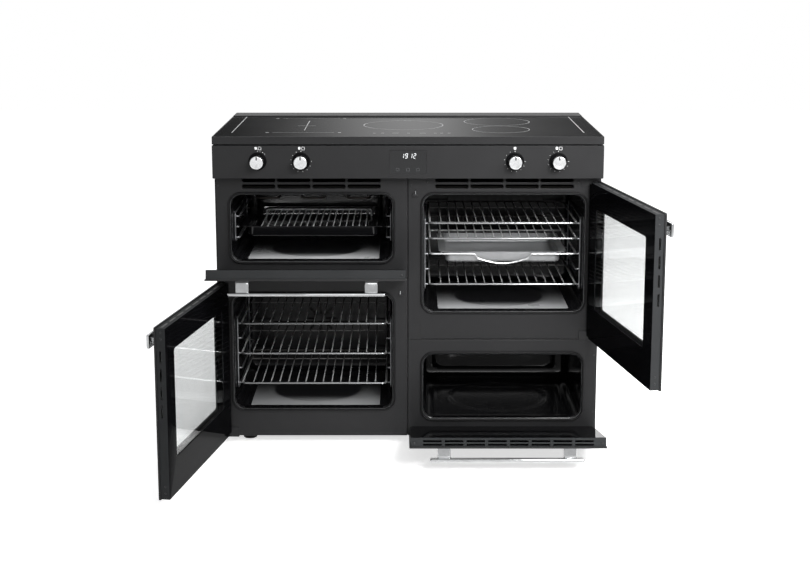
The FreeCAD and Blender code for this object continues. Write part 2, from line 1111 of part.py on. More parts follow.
def make_knob_cap(name):
    """A knob's spindle and cap, round its own axis, with the panel's front face at Y = 0."""
    body = new_body(name)
    base = -(S.bezel_thickness + S.clearance)
    turned(body, "XZ", base, S.spindle_length, 0, 0, S.spindle_radius)
    return turned(body, "XZ", -S.knob_reach, base, 0, 0, S.knob_radius, S.knob_sides)


def finish_knob(name, cap, x):
    """Softens the rim of a knob's face and cuts the pointer notch across it."""
    body = doc.getObject(name)
    tip = -S.knob_reach
    rim = [
        f"Edge{index}"
        for index, edge in enumerate(cap.Shape.Edges, start=1)
        if all(abs(spot.Y - number(tip)) < 1e-6 for spot in edge.Vertexes)
    ]
    soft = body.newObject("PartDesign::Chamfer", f"{name}_soft_rim")
    soft.Base = (cap, rim)
    bind(soft, "Size", S.knob_soft_edge)
    body.Tip = soft
    recess(
        body,
        "XZ",
        tip,
        1,
        S.knob_notch_depth,
        -S.knob_notch_width / 2,
        S.knob_notch_width / 2,
        S.knob_radius / 2,
        S.knob_radius,
    )
    move_to(body, x, front, knob_z)
    node(name, body)


# ---------------------------------------------------------------- fans and elements


def make_fan(name, cavity):
    """A centrifugal impeller: a hub on its shaft, a back plate and a ring of blades."""
    side, sill, height, _ = CAVITIES[cavity]
    body = new_body(name)
    plate_y = -S.clearance * 10
    blade_y = plate_y - S.fan_blade_width
    turned(body, "XZ", plate_y, S.motor_length / 2, 0, 0, S.fan_shaft_radius)
    plate = (S.fan_radius, S.disc_sides)
    turned(body, "XZ", plate_y - S.fan_plate_thickness, plate_y, 0, 0, *plate)
    turned(body, "XZ", blade_y, plate_y, 0, 0, S.fan_hub_radius)
    blade = new_sketch(body, "XZ", plate_y)
    lean = S.fan_radius / 4
    root_x = -S.fan_hub_radius / 2
    thick = S.fan_blade_thickness
    outline = [
        (root_x, S.fan_radius / 2),
        (root_x + thick, S.fan_radius / 2),
        (root_x + lean + thick, S.fan_radius * 0.94),
        (root_x + lean, S.fan_radius * 0.94),
    ]
    polyline(blade, outline)
    vane = pad(body, blade, S.fan_blade_width, -1)
    around(body, [vane], "Y", S.fan_blades)
    move_to(body, side * column, cavity_back, sill + height / 2)
    node(name, body)


def make_fan_cover(cavity):
    """The panel over a fan: a pressed lid with a ring of intake slots, open at its sides."""
    side, sill, height, _ = CAVITIES[cavity]
    body = new_body(f"{cavity}_fan_cover")
    wall = S.enamelled_steel
    half = S.fan_cover_width / 2
    tall = height / 2 - S.fan_cover_margin
    slab(
        body,
        "XZ",
        -S.fan_cover_depth,
        1,
        S.fan_cover_depth,
        -half,
        half,
        -tall,
        tall,
    )
    recess(
        body,
        "XZ",
        wall - S.fan_cover_depth,
        1,
        S.fan_cover_depth,
        wall - half,
        half - wall,
        wall - tall,
        tall - wall,
    )
    slot = recess(
        body,
        "XZ",
        -S.fan_cover_depth,
        1,
        wall,
        -S.intake_slot_width / 2,
        S.intake_slot_width / 2,
        S.intake_radius / 3,
        S.intake_radius,
    )
    around(body, [slot], "Y", S.intake_count)
    move_to(body, side * column, cavity_back, sill + height / 2)
    return body


def make_motor(cavity):
    side, sill, height, _ = CAVITIES[cavity]
    x = side * column
    z = sill + height / 2
    start = cavity_back + S.enamelled_steel
    place = (x, start, z, S.motor_length)
    case = prism(f"{cavity}_motor_case", "Y", *place, S.motor_radius, S.disc_sides)
    snug = (S.fan_shaft_radius + S.running_fit) * hole_fit
    place = (x, start, z, S.motor_length / 2)
    bearing = prism(f"{cavity}_bearing", "Y", *place, snug, S.hole_sides)
    return combined("Cut", f"{cavity}_motor", [case, bearing])


def make_ring_element(cavity):
    """A tube bent round the fan, on two stubs that reach the liner's back."""
    side, sill, height, _ = CAVITIES[cavity]
    x = side * column
    z = sill + height / 2
    tube = S.element_radius
    near = cavity_back - S.fan_cover_depth / 2 - tube
    place = (x, near, z, 2 * tube)
    reach = S.ring_element_radius
    outside = prism(f"{cavity}_ring_outside", "Y", *place, reach + tube, S.disc_sides)
    inside = prism(f"{cavity}_ring_inside", "Y", *place, reach - tube, S.disc_sides)
    ring = combined("Cut", f"{cavity}_ring", [outside, inside])
    start = near + tube
    stubs = [
        prism(
            f"{cavity}_stub_{'left' if hand < 0 else 'right'}",
            "Y",
            x + hand * reach / 3,
            start,
            z + reach * 0.92,
            cavity_back - start,
            tube * 0.9,
            S.hole_sides,
        )
        for hand in (-1, 1)
    ]
    return combined("MultiFuse", f"{cavity}_ring_element", [ring] + stubs)


def tube_along(name, edges, radius):
    """A tube of square section, swept along straight runs and mitred at the corners."""
    path = Part.Wire(edges)
    start = path.OrderedVertexes[0].Point
    first = path.OrderedEdges[0]
    along = first.tangentAt(first.FirstParameter)
    turn = Rotation(Vector(0, 0, 1), along)
    reach = number(radius)
    spots = [
        Vector(reach * across, reach * up, 0)
        for across, up in ((-1, -1), (1, -1), (1, 1), (-1, 1))
    ]
    corners = [start + turn.multVec(spot) for spot in spots]
    section = Part.makePolygon(corners + corners[:1])
    item = doc.addObject("Part::Feature", name)
    item.Shape = path.makePipeShell([section], True, False, 1)
    return item


def make_grill_element():
    """A tube bent to and fro under the grill's ceiling, its two ends fixed in the back."""
    side, sill, height, _ = CAVITIES["grill"]
    legs = int(S.grill_element_legs.number)
    pitch = number(S.grill_element_width) / (legs - 1)
    first_x = number(side * column - S.grill_element_width / 2)
    z = number(sill + height - S.grill_element_drop)
    near = number(frame_back + S.grill_element_front)
    far = number(cavity_back - S.grill_element_front)
    bend = pitch / 3
    spots = [Vector(first_x, number(cavity_back), z)]
    for leg in range(legs - 1):
        x = first_x + leg * pitch
        turn_y, back_off = (near, bend) if leg % 2 == 0 else (far, -bend)
        spots.append(Vector(x, turn_y + back_off, z))
        spots.append(Vector(x + bend, turn_y, z))
        spots.append(Vector(x + pitch - bend, turn_y, z))
        spots.append(Vector(x + pitch, turn_y + back_off, z))
    spots.append(Vector(first_x + pitch * (legs - 1), number(cavity_back), z))
    runs = [Part.LineSegment(a, b).toShape() for a, b in zip(spots, spots[1:])]
    return tube_along("grill_element", runs, S.element_radius)


def make_heating():
    fan_cavities = [name for name, row in CAVITIES.items() if row[3]]
    rings = [make_ring_element(name) for name in fan_cavities]
    elements = rings + [make_grill_element()]
    node("heating_elements", combined("Compound", "heating_elements", elements))
    covers = [make_fan_cover(name) for name in fan_cavities]
    node("fan_covers", combined("Compound", "fan_covers", covers))
    motors = [make_motor(name) for name in fan_cavities]
    node("fan_motors", combined("Compound", "fan_motors", motors))
    for name in fan_cavities:
        make_fan(f"{name}_fan", name)


# ---------------------------------------------------------------- wire work

# each ladder: cavity, height of its lowest runner over the floor, levels and pitch
RAILS = {
    "grill": (S.grill_rail_base, S.grill_rail_levels, S.grill_rail_pitch),
    "left_oven": (S.left_rail_base, S.rail_levels, S.rail_pitch),
    "right_oven": (S.right_rail_base, S.rail_levels, S.rail_pitch),
}
rail_front = frame_back + S.rail_end_inset
rail_back = cavity_back - S.rail_end_inset


def make_rails(cavity):
    """Two wire ladders: uprights against the liner, and runners that stand in from them."""
    side, sill, height, _ = CAVITIES[cavity]
    base, levels, pitch = RAILS[cavity]
    ladders = []
    for hand in (-1, 1):
        body = new_body(f"{cavity}_ladder_{'left' if hand < 0 else 'right'}")
        upright_x = side * column + hand * (half_opening - S.upright_inset)
        runner_x = side * column + hand * (half_opening - S.runner_inset)
        wall_x = side * column + hand * half_opening
        bottom = sill + base - pitch / 3
        top = sill + base + pitch * (levels - 1) + pitch / 3
        post = wire(body, "XY", bottom, top, upright_x, rail_front, S.rail_wire)
        peg_ends = sorted((upright_x, wall_x), key=number)
        pegs = [
            wire(body, "YZ", *peg_ends, rail_front, peg_z, S.rail_wire)
            for peg_z in (bottom + S.rail_wire, top - S.rail_wire)
        ]
        row_of(body, [post] + pegs, "Y", rail_back - rail_front, 2)
        arm_ends = sorted((upright_x, runner_x), key=number)
        z = sill + base
        run = (rail_front - S.rail_wire, rail_back + S.rail_wire)
        runner = wire(body, "XZ", *run, runner_x, z, S.rail_wire)
        arms = [
            wire(body, "YZ", *arm_ends, y, z, S.rail_wire)
            for y in (rail_front, rail_back)
        ]
        row_of(body, [runner] + arms, "Z", pitch, levels)
        ladders.append(body)
    node(f"{cavity}_rails", combined("Compound", f"{cavity}_rails", ladders))


shelf_width = 2 * (half_opening - S.shelf_side_gap)
shelf_front = face + S.shelf_front_inset
shelf_back = cavity_back - S.fan_cover_depth - S.clearance - 2 * S.frame_wire


def shelf_height(cavity, level):
    """The height of a shelf's frame wires when it lies on a runner."""
    _, sill, _, _ = CAVITIES[cavity]
    base, _, pitch = RAILS[cavity]
    return sill + base + level * pitch + S.rail_wire + S.frame_wire + S.clearance


def shelf_frame(body, middle, z):
    """The four stout wires round a shelf."""
    radius = S.frame_wire
    half = shelf_width / 2
    for y in (shelf_front, shelf_back):
        wire(body, "YZ", middle - half, middle + half, y, z, radius)
    for hand in (-1, 1):
        x = middle + hand * (half - radius)
        wire(body, "XZ", shelf_front, shelf_back, x, z, radius)


def make_shelf(name, cavity, level):
    side = CAVITIES[cavity][0]
    middle = side * column
    z = shelf_height(cavity, level)
    body = new_body(name)
    shelf_frame(body, middle, z)
    first = middle - shelf_width / 2 + S.rod_end_gap
    pitch = (shelf_width - 2 * S.rod_end_gap) / (S.rod_count - 1)
    rod = wire(body, "XZ", shelf_front, shelf_back, first, z, S.rod_wire)
    row_of(body, [rod], "X", pitch, S.rod_count)
    node(name, body)


def make_roasting_tray():
    """A deep tin hung in a wire cradle, whose front wire dips in a curved bail."""
    side = CAVITIES["right_oven"][0]
    middle = side * column
    z = shelf_height("right_oven", 2)
    cradle = new_body("roaster_cradle")
    shelf_frame(cradle, middle, z)
    half = number(S.roaster_bail_half_width)
    dip = number(S.roaster_bail_dip)
    bends = int(number(S.roaster_bail_bends))
    spots = [
        Vector(
            number(middle) - half * math.cos(math.pi * bend / bends),
            number(shelf_front),
            number(z) - dip * math.sin(math.pi * bend / bends),
        )
        for bend in range(bends + 1)
    ]
    runs = [Part.LineSegment(a, b).toShape() for a, b in zip(spots, spots[1:])]
    bail = tube_along("roaster_bail", runs, S.rod_wire)
    wire_work = combined("MultiFuse", "roaster_wires", [cradle, bail])

    tin = new_body("roaster_tin")
    half_x = shelf_width / 2 - S.roaster_side_gap
    tin_front = shelf_front + 4 * S.frame_wire
    tin_back = shelf_back - S.roaster_back_gap
    rim = z + S.frame_wire + S.enamelled_steel + S.clearance
    wall = S.enamelled_steel
    deep = S.roaster_wall_height
    slab(
        tin,
        "XY",
        rim,
        -1,
        deep,
        middle - half_x,
        middle + half_x,
        tin_front,
        tin_back,
        S.pan_radius,
    )
    lip = shelf_width / 2 - S.frame_wire
    slab(
        tin,
        "XY",
        rim,
        -1,
        wall,
        middle - lip,
        middle + lip,
        tin_front + S.pan_radius,
        tin_back - S.pan_radius,
    )
    recess(
        tin,
        "XY",
        rim,
        -1,
        deep - wall,
        middle - half_x + wall,
        middle + half_x - wall,
        tin_front + wall,
        tin_back - wall,
        S.pan_radius - wall,
    )
    node("roasting_tray", combined("Compound", "roasting_tray", [wire_work, tin]))


def make_grill_pan():
    """The grill pan hangs on the ladders by its two side flanges."""
    side = CAVITIES["grill"][0]
    middle = side * column
    rim = shelf_height("grill", 1) - S.frame_wire + S.enamelled_steel
    wall = S.enamelled_steel
    near = face + S.pan_front_inset
    far = cavity_back - S.pan_back_gap
    half = shelf_width / 2 - S.pan_side_gap
    body = new_body("grill_pan")
    slab(
        body,
        "XY",
        rim,
        -1,
        S.pan_wall_height,
        middle - half,
        middle + half,
        near,
        far,
        S.pan_radius,
    )
    reach = shelf_width / 2
    slab(
        body,
        "XY",
        rim,
        -1,
        wall,
        middle - reach,
        middle + reach,
        near + S.pan_radius,
        far - S.pan_radius,
    )
    recess(
        body,
        "XY",
        rim,
        -1,
        S.pan_wall_height - wall,
        middle - half + wall,
        middle + half - wall,
        near + wall,
        far - wall,
        S.pan_radius - wall,
    )
    node("grill_pan", body)

    rack = new_body("grill_trivet")
    floor = rim - S.pan_wall_height + wall
    z = floor + S.clearance + S.trivet_rise
    wide = half - S.trivet_side_gap
    near_bar = near + S.trivet_end_gap
    far_bar = far - S.trivet_end_gap
    for y in (near_bar, far_bar):
        wire(rack, "YZ", middle - wide, middle + wide, y, z, S.frame_wire)
    first = middle - wide + S.trivet_rod_inset
    pitch = 2 * (wide - S.trivet_rod_inset) / (S.trivet_rods - 1)
    rod = wire(rack, "XZ", near_bar, far_bar, first, z, S.rod_wire)
    row_of(rack, [rod], "X", pitch, S.trivet_rods)
    for hand in (-1, 1):
        x = middle + hand * (wide - S.frame_wire)
        for y in (near_bar, far_bar):
            wire(rack, "XY", floor + S.clearance, z, x, y, S.frame_wire)
    node("grill_trivet", rack)


# ---------------------------------------------------------------- doors

half_thickness = S.door_thickness / 2


def side_door_span(side):
    """Local X of the two edges of a side-hung door, whose pin is at the origin."""
    near = -side * S.hinge_edge
    far = side * (door_width - S.hinge_edge)
    return (near, far) if side > 0 else (far, near)


def make_door(name, placement, span, low, high, window, hinge):
    """The outer panel, the folded liner and the handle of one door, and its panes.

    `hinge` holds the hand of a side-hung door, or 0 for one that drops down."""
    left, right = span
    inner = half_thickness
    outer = -half_thickness
    seam = outer + S.skin_thickness
    pieces = {}

    skin = new_body(f"{name}_outer_panel")
    slab(
        skin,
        "XZ",
        outer,
        1,
        S.skin_thickness,
        left,
        right,
        low,
        high,
        S.door_radius,
    )
    liner = new_body(f"{name}_liner")
    edge = S.skin_overhang
    wall = S.liner_wall
    depth = S.door_thickness - S.skin_thickness
    slab(
        liner,
        "XZ",
        inner,
        -1,
        depth,
        left + edge,
        right - edge,
        low + edge,
        high - edge,
    )
    recess(
        liner,
        "XZ",
        seam,
        1,
        depth - wall,
        left + edge + wall,
        right - edge - wall,
        low + edge + wall,
        high - edge - wall,
    )
    if hinge:
        make_side_hinge_seats(liner, span, low, high, hinge, inner, depth)
    else:
        make_drop_hinge_seats(liner, span, low, inner, depth)

    if window:
        glass = add_window(name, skin, liner, span, high, inner, outer, seam)
        pieces[f"{name}_glass"] = glass
        free_edge = right - edge if hinge > 0 else left + edge
        start = high - S.edge_slot_start
        slot = recess(
            liner,
            "YZ",
            free_edge,
            -hinge,
            wall,
            -S.edge_slot_width / 2,
            S.edge_slot_width / 2,
            start - S.edge_slot_length,
            start,
        )
        row_of(liner, [slot], "Z", S.edge_slot_pitch, S.edge_slot_count, reverse=True)
    middle = (left + right) / 2
    pieces[f"{name}_outer_panel"] = skin
    pieces[f"{name}_liner"] = liner
    pieces[f"{name}_handle"] = make_handle(name, middle, high - S.handle_drop, outer)
    for label, piece in pieces.items():
        piece.Placement = placement
        node(label, piece)
    return liner


def make_side_hinge_seats(liner, span, low, high, hand, inner, depth):
    """Blocks in the liner's hinge corners, notched for the lugs and bored for the pins."""
    left, right = span
    edge = S.skin_overhang
    block = S.hinge_block
    hung_left = hand > 0
    block_left = left + edge if hung_left else right - edge - block
    block_right = left + edge + block if hung_left else right - edge
    notch = S.lug_thickness + 2 * S.clearance
    wide = S.lug_half_width + 2 * S.clearance
    notch_left = left + edge if hung_left else -wide
    notch_right = wide if hung_left else right - edge
    # a door that opens past square swings the lug toward its outer skin
    past_square = math.radians(max(number(S.side_door_angle) - 90, 0))
    notch_depth = inner + wide + S.hinge_edge * math.tan(past_square)
    for is_top in (False, True):
        inside = high - edge - block if is_top else low + edge
        slab(
            liner, "XZ", inner, -1, depth, block_left, block_right, inside, inside + block
        )
        mouth = high - edge - notch if is_top else low + edge
        recess(
            liner,
            "XZ",
            inner,
            -1,
            notch_depth,
            notch_left,
            notch_right,
            mouth,
            mouth + notch,
        )
        start = high - edge - notch if is_top else low + edge + notch
        bored(
            liner,
            "XY",
            start,
            -1 if is_top else 1,
            S.pin_depth + S.clearance,
            0,
            0,
            (S.pin_radius + S.running_fit) * hole_fit,
        )


def make_drop_hinge_seats(liner, span, low, inner, depth):
    """The same seats in the two lower corners of a door that drops down."""
    left, right = span
    edge = S.skin_overhang
    block = S.hinge_block
    notch = S.lug_thickness + 2 * S.clearance
    tall = S.lug_half_width + 2 * S.clearance
    for is_right in (False, True):
        block_left = right - edge - block if is_right else left + edge
        slab(
            liner,
            "XZ",
            inner,
            -1,
            depth,
            block_left,
            block_left + block,
            low + edge,
            low + edge + block + S.lug_half_width,
        )
        notch_left = right - edge - notch if is_right else left + edge
        recess(
            liner,
            "XZ",
            inner,
            -1,
            inner + tall,
            notch_left,
            notch_left + notch,
            low + edge,
            tall,
        )
        start = right - edge - notch if is_right else left + edge + notch
        bored(
            liner,
            "YZ",
            start,
            -1 if is_right else 1,
            S.pin_depth + S.clearance,
            0,
            0,
            (S.pin_radius + S.running_fit) * hole_fit,
        )


def add_window(name, skin, liner, span, high, inner, outer, seam):
    """Cuts the window through both skins and seats a pane behind each."""
    left, right = span
    middle = (left + right) / 2
    half = (right - left) / 2 - S.window_side_margin
    top = high - S.window_top_margin
    bottom = S.window_foot_margin
    sight = (middle - half, middle + half, bottom, top, S.window_radius)
    recess(skin, "XZ", outer, 1, S.skin_thickness, *sight)
    recess(liner, "XZ", inner, -1, S.liner_wall, *sight)
    border = S.pane_border
    pane = (middle - half - border, middle + half + border, bottom - border, top + border)
    near = new_body(f"{name}_inner_pane")
    near_face = inner - S.liner_wall
    slab(near, "XZ", near_face, -1, S.inner_pane_thickness, *pane)
    away = new_body(f"{name}_outer_pane")
    slab(away, "XZ", seam, 1, S.outer_pane_thickness, *pane)
    return combined("Compound", f"{name}_glass", [near, away])


def make_handle(name, middle, z, outer):
    """A flat bar with rounded edges on two feet."""
    body = new_body(f"{name}_handle")
    length = door_width - 2 * S.handle_end_margin
    bar = new_sketch(body, "YZ", middle - length / 2)
    tip = outer - S.handle_reach
    inside = tip + S.handle_bar_thickness
    half = S.handle_height / 2
    soft = S.handle_bar_thickness / 3
    rounded_rectangle(bar, tip, inside, z - half, z + half, soft)
    pad(body, bar, length, 1)
    pitch = length - 2 * S.handle_foot_inset
    first = middle - pitch / 2
    foot = slab(
        body,
        "XZ",
        outer,
        -1,
        S.handle_reach - S.handle_bar_thickness / 2,
        first - S.handle_foot_width / 2,
        first + S.handle_foot_width / 2,
        z - S.handle_foot_height / 2,
        z + S.handle_foot_height / 2,
    )
    row_of(body, [foot], "X", pitch, 2)
    return body


def side_door_placement(side, bottom):
    """A side-hung door stands turned out about its upright pin."""
    pin = Vector(number(side * hinge_x), number(hinge_y), number(bottom))
    turn = Rotation(Vector(0, 0, 1), side * number(S.side_door_angle))
    return Placement(pin, turn)


def drop_door_placement(side, bottom):
    """A drop-down door stands turned forward about its level pins."""
    z = number(bottom + S.hinge_rise)
    pin = Vector(number(side * column), number(hinge_y), z)
    turn = Rotation(Vector(1, 0, 0), number(S.drop_door_angle))
    return Placement(pin, turn)


hinge_x = column + door_width / 2 - S.hinge_edge


def make_doors():
    for name, side, bottom in (
        ("left_oven_door", -1, left_door_bottom),
        ("right_oven_door", 1, right_door_bottom),
    ):
        placement = side_door_placement(side, bottom)
        span = side_door_span(-side)
        make_door(name, placement, span, 0, main_door_height, True, -side)
    half = door_width / 2
    for name, side, bottom in (
        ("grill_door", -1, grill_door_bottom),
        ("slow_oven_door", 1, slow_door_bottom),
    ):
        placement = drop_door_placement(side, bottom)
        low = -S.hinge_rise
        high = low + small_door_height
        liner = make_door(name, placement, (-half, half), low, high, False, 0)
        if name == "slow_oven_door":
            add_top_slots(liner, high)


def add_top_slots(liner, high):
    """Two rows of cooling slots in the folded edge that faces up when the door is shut."""
    first = -S.top_slot_pitch * (S.top_slot_count - 1) / 2
    top = high - S.skin_overhang
    for offset in (-S.edge_slot_width, S.edge_slot_width):
        slot = recess(
            liner,
            "XY",
            top,
            -1,
            S.liner_wall,
            first - S.top_slot_length / 2,
            first + S.top_slot_length / 2,
            offset - S.edge_slot_width / 2,
            offset + S.edge_slot_width / 2,
        )
        row_of(liner, [slot], "X", S.top_slot_pitch, S.top_slot_count)


# ---------------------------------------------------------------- hinges, catches, plates


def make_hinge_bracket(name, side, z, pin_up):
    """A plate on the frame with a lug that reaches forward and holds an upright pin."""
    x = side * hinge_x
    half = S.lug_half_width
    outer_edge = x + side * half
    ends = sorted((outer_edge, outer_edge - side * S.hinge_plate_width), key=number)
    low = z - S.hinge_plate_height / 2
    plate = box(
        f"{name}_plate",
        *ends,
        face - S.hinge_plate_thickness,
        face,
        low,
        low + S.hinge_plate_height,
    )
    lug = box(
        f"{name}_lug",
        x - half,
        x + half,
        hinge_y,
        face,
        z - S.lug_thickness / 2,
        z + S.lug_thickness / 2,
    )
    place = (x, hinge_y, z - S.lug_thickness / 2, S.lug_thickness)
    eye = prism(f"{name}_eye", "Z", *place, half, S.hole_sides)
    start = z - S.lug_thickness / 2 if pin_up else z + S.lug_thickness / 2 - pin_length
    place = (x, hinge_y, start, pin_length)
    pin = prism(f"{name}_pin", "Z", *place, S.pin_radius, S.hole_sides)
    return combined("MultiFuse", name, [plate, lug, eye, pin])


def make_drop_bracket(name, x, inward, z):
    """The same bracket on its side, for a door that drops down."""
    half = S.lug_half_width
    outer_edge = x - inward * S.lug_thickness / 2
    ends = sorted((outer_edge, outer_edge + inward * S.hinge_plate_height), key=number)
    plate = box(
        f"{name}_plate",
        *ends,
        face - S.hinge_plate_thickness,
        face,
        z - half,
        z + half,
    )
    lug = box(
        f"{name}_lug",
        x - S.lug_thickness / 2,
        x + S.lug_thickness / 2,
        hinge_y,
        face,
        z - half,
        z + half,
    )
    start = x - S.lug_thickness / 2
    place = (start, hinge_y, z, S.lug_thickness)
    eye = prism(f"{name}_eye", "X", *place, half, S.hole_sides)
    if inward < 0:
        start = x + S.lug_thickness / 2 - pin_length
    place = (start, hinge_y, z, pin_length)
    pin = prism(f"{name}_pin", "X", *place, S.pin_radius, S.hole_sides)
    return combined("MultiFuse", name, [plate, lug, eye, pin])


pin_length = S.lug_thickness + S.pin_depth
lug_inset = S.skin_overhang + S.clearance + S.lug_thickness / 2


def make_hardware():
    pieces = []
    for name, side, bottom in (
        ("left_oven", -1, left_door_bottom),
        ("right_oven", 1, right_door_bottom),
    ):
        low = bottom + lug_inset
        high = bottom + main_door_height - lug_inset
        pieces.append(make_hinge_bracket(f"{name}_lower_hinge", side, low, True))
        pieces.append(make_hinge_bracket(f"{name}_upper_hinge", side, high, False))
    for name, side, bottom in (
        ("grill", -1, grill_door_bottom),
        ("slow_oven", 1, slow_door_bottom),
    ):
        for hand in (-1, 1):
            x = side * column + hand * (door_width / 2 - lug_inset)
            label = f"{name}_hinge_{'left' if hand < 0 else 'right'}"
            z = bottom + S.hinge_rise
            pieces.append(make_drop_bracket(label, x, -hand, z))
    catch = S.striker_width / 2
    for cavity in ("left_oven", "right_oven"):
        side, sill, height, _ = CAVITIES[cavity]
        x = side * (S.striker_width * 1.4)
        z = sill + height
        striker = box(
            f"{cavity}_striker",
            x - catch,
            x + catch,
            face - S.striker_reach,
            face,
            z - S.lug_thickness,
            z + S.lug_thickness,
        )
        pieces.append(striker)
    for name, side, low in (
        ("left", -1, S.foot_height + S.frame_split_rise),
        ("right", 1, right_split),
    ):
        near = side * S.corner_plate_inset
        ends = sorted((near, near + side * S.corner_plate_width), key=number)
        plate = box(
            f"{name}_corner_plate",
            *ends,
            face - S.corner_plate_thickness,
            face,
            low,
            low + S.corner_plate_height,
        )
        pieces.append(plate)
    node("frame_hardware", combined("Compound", "frame_hardware", pieces))


# ---------------------------------------------------------------- build

make_base_tray()
make_side_panel("left_side_panel", -1)
make_side_panel("right_side_panel", 1)
make_back_panel()
make_feet()
make_front("grill_front", "grill", left_split + S.frame_joint, fascia_bottom, True)
make_front("left_oven_front", "left_oven", S.foot_height, left_split, False)
make_front(
    "right_oven_front", "right_oven", right_split + S.frame_joint, fascia_bottom, True
)
make_front("slow_oven_front", "slow_oven", S.foot_height, right_split, False)
for cavity_name in CAVITIES:
    make_cavity(cavity_name)
make_insulation()
make_seals()
make_hob()
make_control_panel()
make_knobs()
make_heating()
for cavity_name in RAILS:
    make_rails(cavity_name)
make_shelf("left_shelf_low", "left_oven", 0)
make_shelf("left_shelf_middle", "left_oven", 2)
make_shelf("left_shelf_high", "left_oven", 4)
make_shelf("right_shelf_low", "right_oven", 0)
make_shelf("right_shelf_middle", "right_oven", 3)
make_shelf("right_shelf_high", "right_oven", 4)
make_roasting_tray()
make_grill_pan()
make_doors()
make_hardware()

doc.recompute()

faults = [
    f"{item.Name}: {', '.join(item.State)}"
    for item in doc.Objects
    if "Invalid" in item.State or "Error" in item.State
]
for label, piece in NODES.items():
    if piece.Shape.isNull() or not piece.Shape.isValid():
        faults.append(f"{label}: no valid shape")
if faults:
    raise RuntimeError("; ".join(faults))

os.makedirs("parts", exist_ok=True)
for label, piece in NODES.items():
    piece.Shape.exportStep(f"parts/{label}.step")
    bounds = piece.Shape.BoundBox
    print(
        f"{label}: {len(piece.Shape.Solids)} solid(s),"
        f" {piece.Shape.Volume / 1000:.1f} cm3,"
        f" z {bounds.ZMin:.1f} to {bounds.ZMax:.1f}"
    )
print(f"{len(NODES)} nodes")
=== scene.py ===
# %% [markdown]
# # A range cooker with all four doors open
#
# The real object is a free-standing range cooker, 1100 mm wide. Its body is pressed sheet
# steel under a satin black paint, its four cavities are vitreous enamel, its hob is one
# sheet of black glass-ceramic, and everything that slides is chromed wire.
#
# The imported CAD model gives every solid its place. This script keeps the solids whose
# form is already right, gives them their finish, and works out the rounder things - wire,
# pressed enamel, turned knobs - as smooth surfaces from a few numbers.

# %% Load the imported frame
import math

import bpy
import numpy as np
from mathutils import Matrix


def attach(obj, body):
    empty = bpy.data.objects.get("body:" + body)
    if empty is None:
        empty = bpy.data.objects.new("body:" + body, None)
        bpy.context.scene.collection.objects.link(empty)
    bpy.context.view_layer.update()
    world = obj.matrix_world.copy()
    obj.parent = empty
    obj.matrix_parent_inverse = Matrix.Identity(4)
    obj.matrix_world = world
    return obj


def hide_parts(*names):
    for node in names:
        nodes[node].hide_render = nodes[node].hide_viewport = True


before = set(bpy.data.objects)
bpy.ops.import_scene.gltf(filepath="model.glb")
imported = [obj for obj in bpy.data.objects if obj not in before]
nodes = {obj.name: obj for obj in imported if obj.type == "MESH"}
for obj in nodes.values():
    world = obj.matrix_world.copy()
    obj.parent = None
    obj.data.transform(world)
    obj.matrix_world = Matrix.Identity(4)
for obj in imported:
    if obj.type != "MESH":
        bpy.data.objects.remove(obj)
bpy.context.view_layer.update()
scene = bpy.context.scene

# %% [markdown]
# ## Drawing in millimetres
#
# A cooker is drawn in millimetres, and Blender measures in metres, so every point below is
# worked out in millimetres and turned once, where its mesh is made. A shape is a pair:
# an array of points, and a list of faces that name them. Surfaces come from a grid of
# rings, and one function joins the grid's neighbours into four-sided faces.

# %% Shapes as arrays
MM = 0.001
SMOOTH_ANGLE = math.radians(32)
# the middles of the two columns, the front frames' face, and the front edge of the hob
LEFT, RIGHT, FACE_Y, HOB_FRONT = -275.0, 275.0, -255.0, -300.0
# the steps of a wire's bend, the sides of a round wire, and the steps of a quarter turn
ARC_STEPS, WIRE_SIDES = 6, 8
QUARTER = np.linspace(0, math.pi / 2, 5)


def lofted(rings, around=False, caps=True):
    """Join rings of equal length, an array (rings, spots, 3), into a skin.

    Face (i, j) has the corners ring i and i + 1 at spots j and j + 1, and the last spot
    joins the first. With around, the last ring joins the first; otherwise caps closes
    each end with one face. A closed skin whose signed volume is negative is turned over."""
    count, spots = rings.shape[:2]
    points = rings.reshape(-1, 3)
    index = np.arange(count * spots).reshape(count, spots)
    after = np.roll(index, -1, axis=1)
    if around:
        nxt, nxt_after = np.roll(index, -1, axis=0), np.roll(after, -1, axis=0)
        quads = np.stack([index, after, nxt_after, nxt], axis=-1).reshape(-1, 4)
    else:
        quads = np.stack([index[:-1], after[:-1], after[1:], index[1:]], axis=-1).reshape(-1, 4)
    faces = quads.tolist()
    if caps and not around:
        faces += [index[0][::-1].tolist(), index[-1].tolist()]
    if around or caps:
        a, b, c, d = (points[quads[:, k]] for k in range(4))
        volume = np.einsum("ij,ij->", a, np.cross(b, c)) + np.einsum("ij,ij->", a, np.cross(c, d))
        if caps and not around:
            for ring in (rings[0][::-1], rings[-1]):
                fan = np.cross(ring[1:-1], ring[2:])
                volume += np.einsum("j,ij->", ring[0], fan)
        if volume < 0:
            faces = [face[::-1] for face in faces]
    return points, faces


def together(*shapes):
    """One shape from several: each shape's face numbers move up by the points before it."""
    points, faces, start = [], [], 0
    for spots, loops in shapes:
        points.append(spots)
        faces += [[number + start for number in loop] for loop in loops]
        start += len(spots)
    return np.concatenate(points), faces


def moved(shape, x=0.0, y=0.0, z=0.0):
    """The same shape, shifted."""
    points, faces = shape
    return points + np.array([x, y, z]), faces


def scattered(shape, spots):
    """The same shape at every one of the spots."""
    return together(*[moved(shape, *spot) for spot in spots])


def circle(sides):
    """(cos t, sin t) at angles spread evenly round a full turn."""
    angle = np.arange(sides) * 2 * math.pi / sides
    return np.stack([np.cos(angle), np.sin(angle)], axis=1)


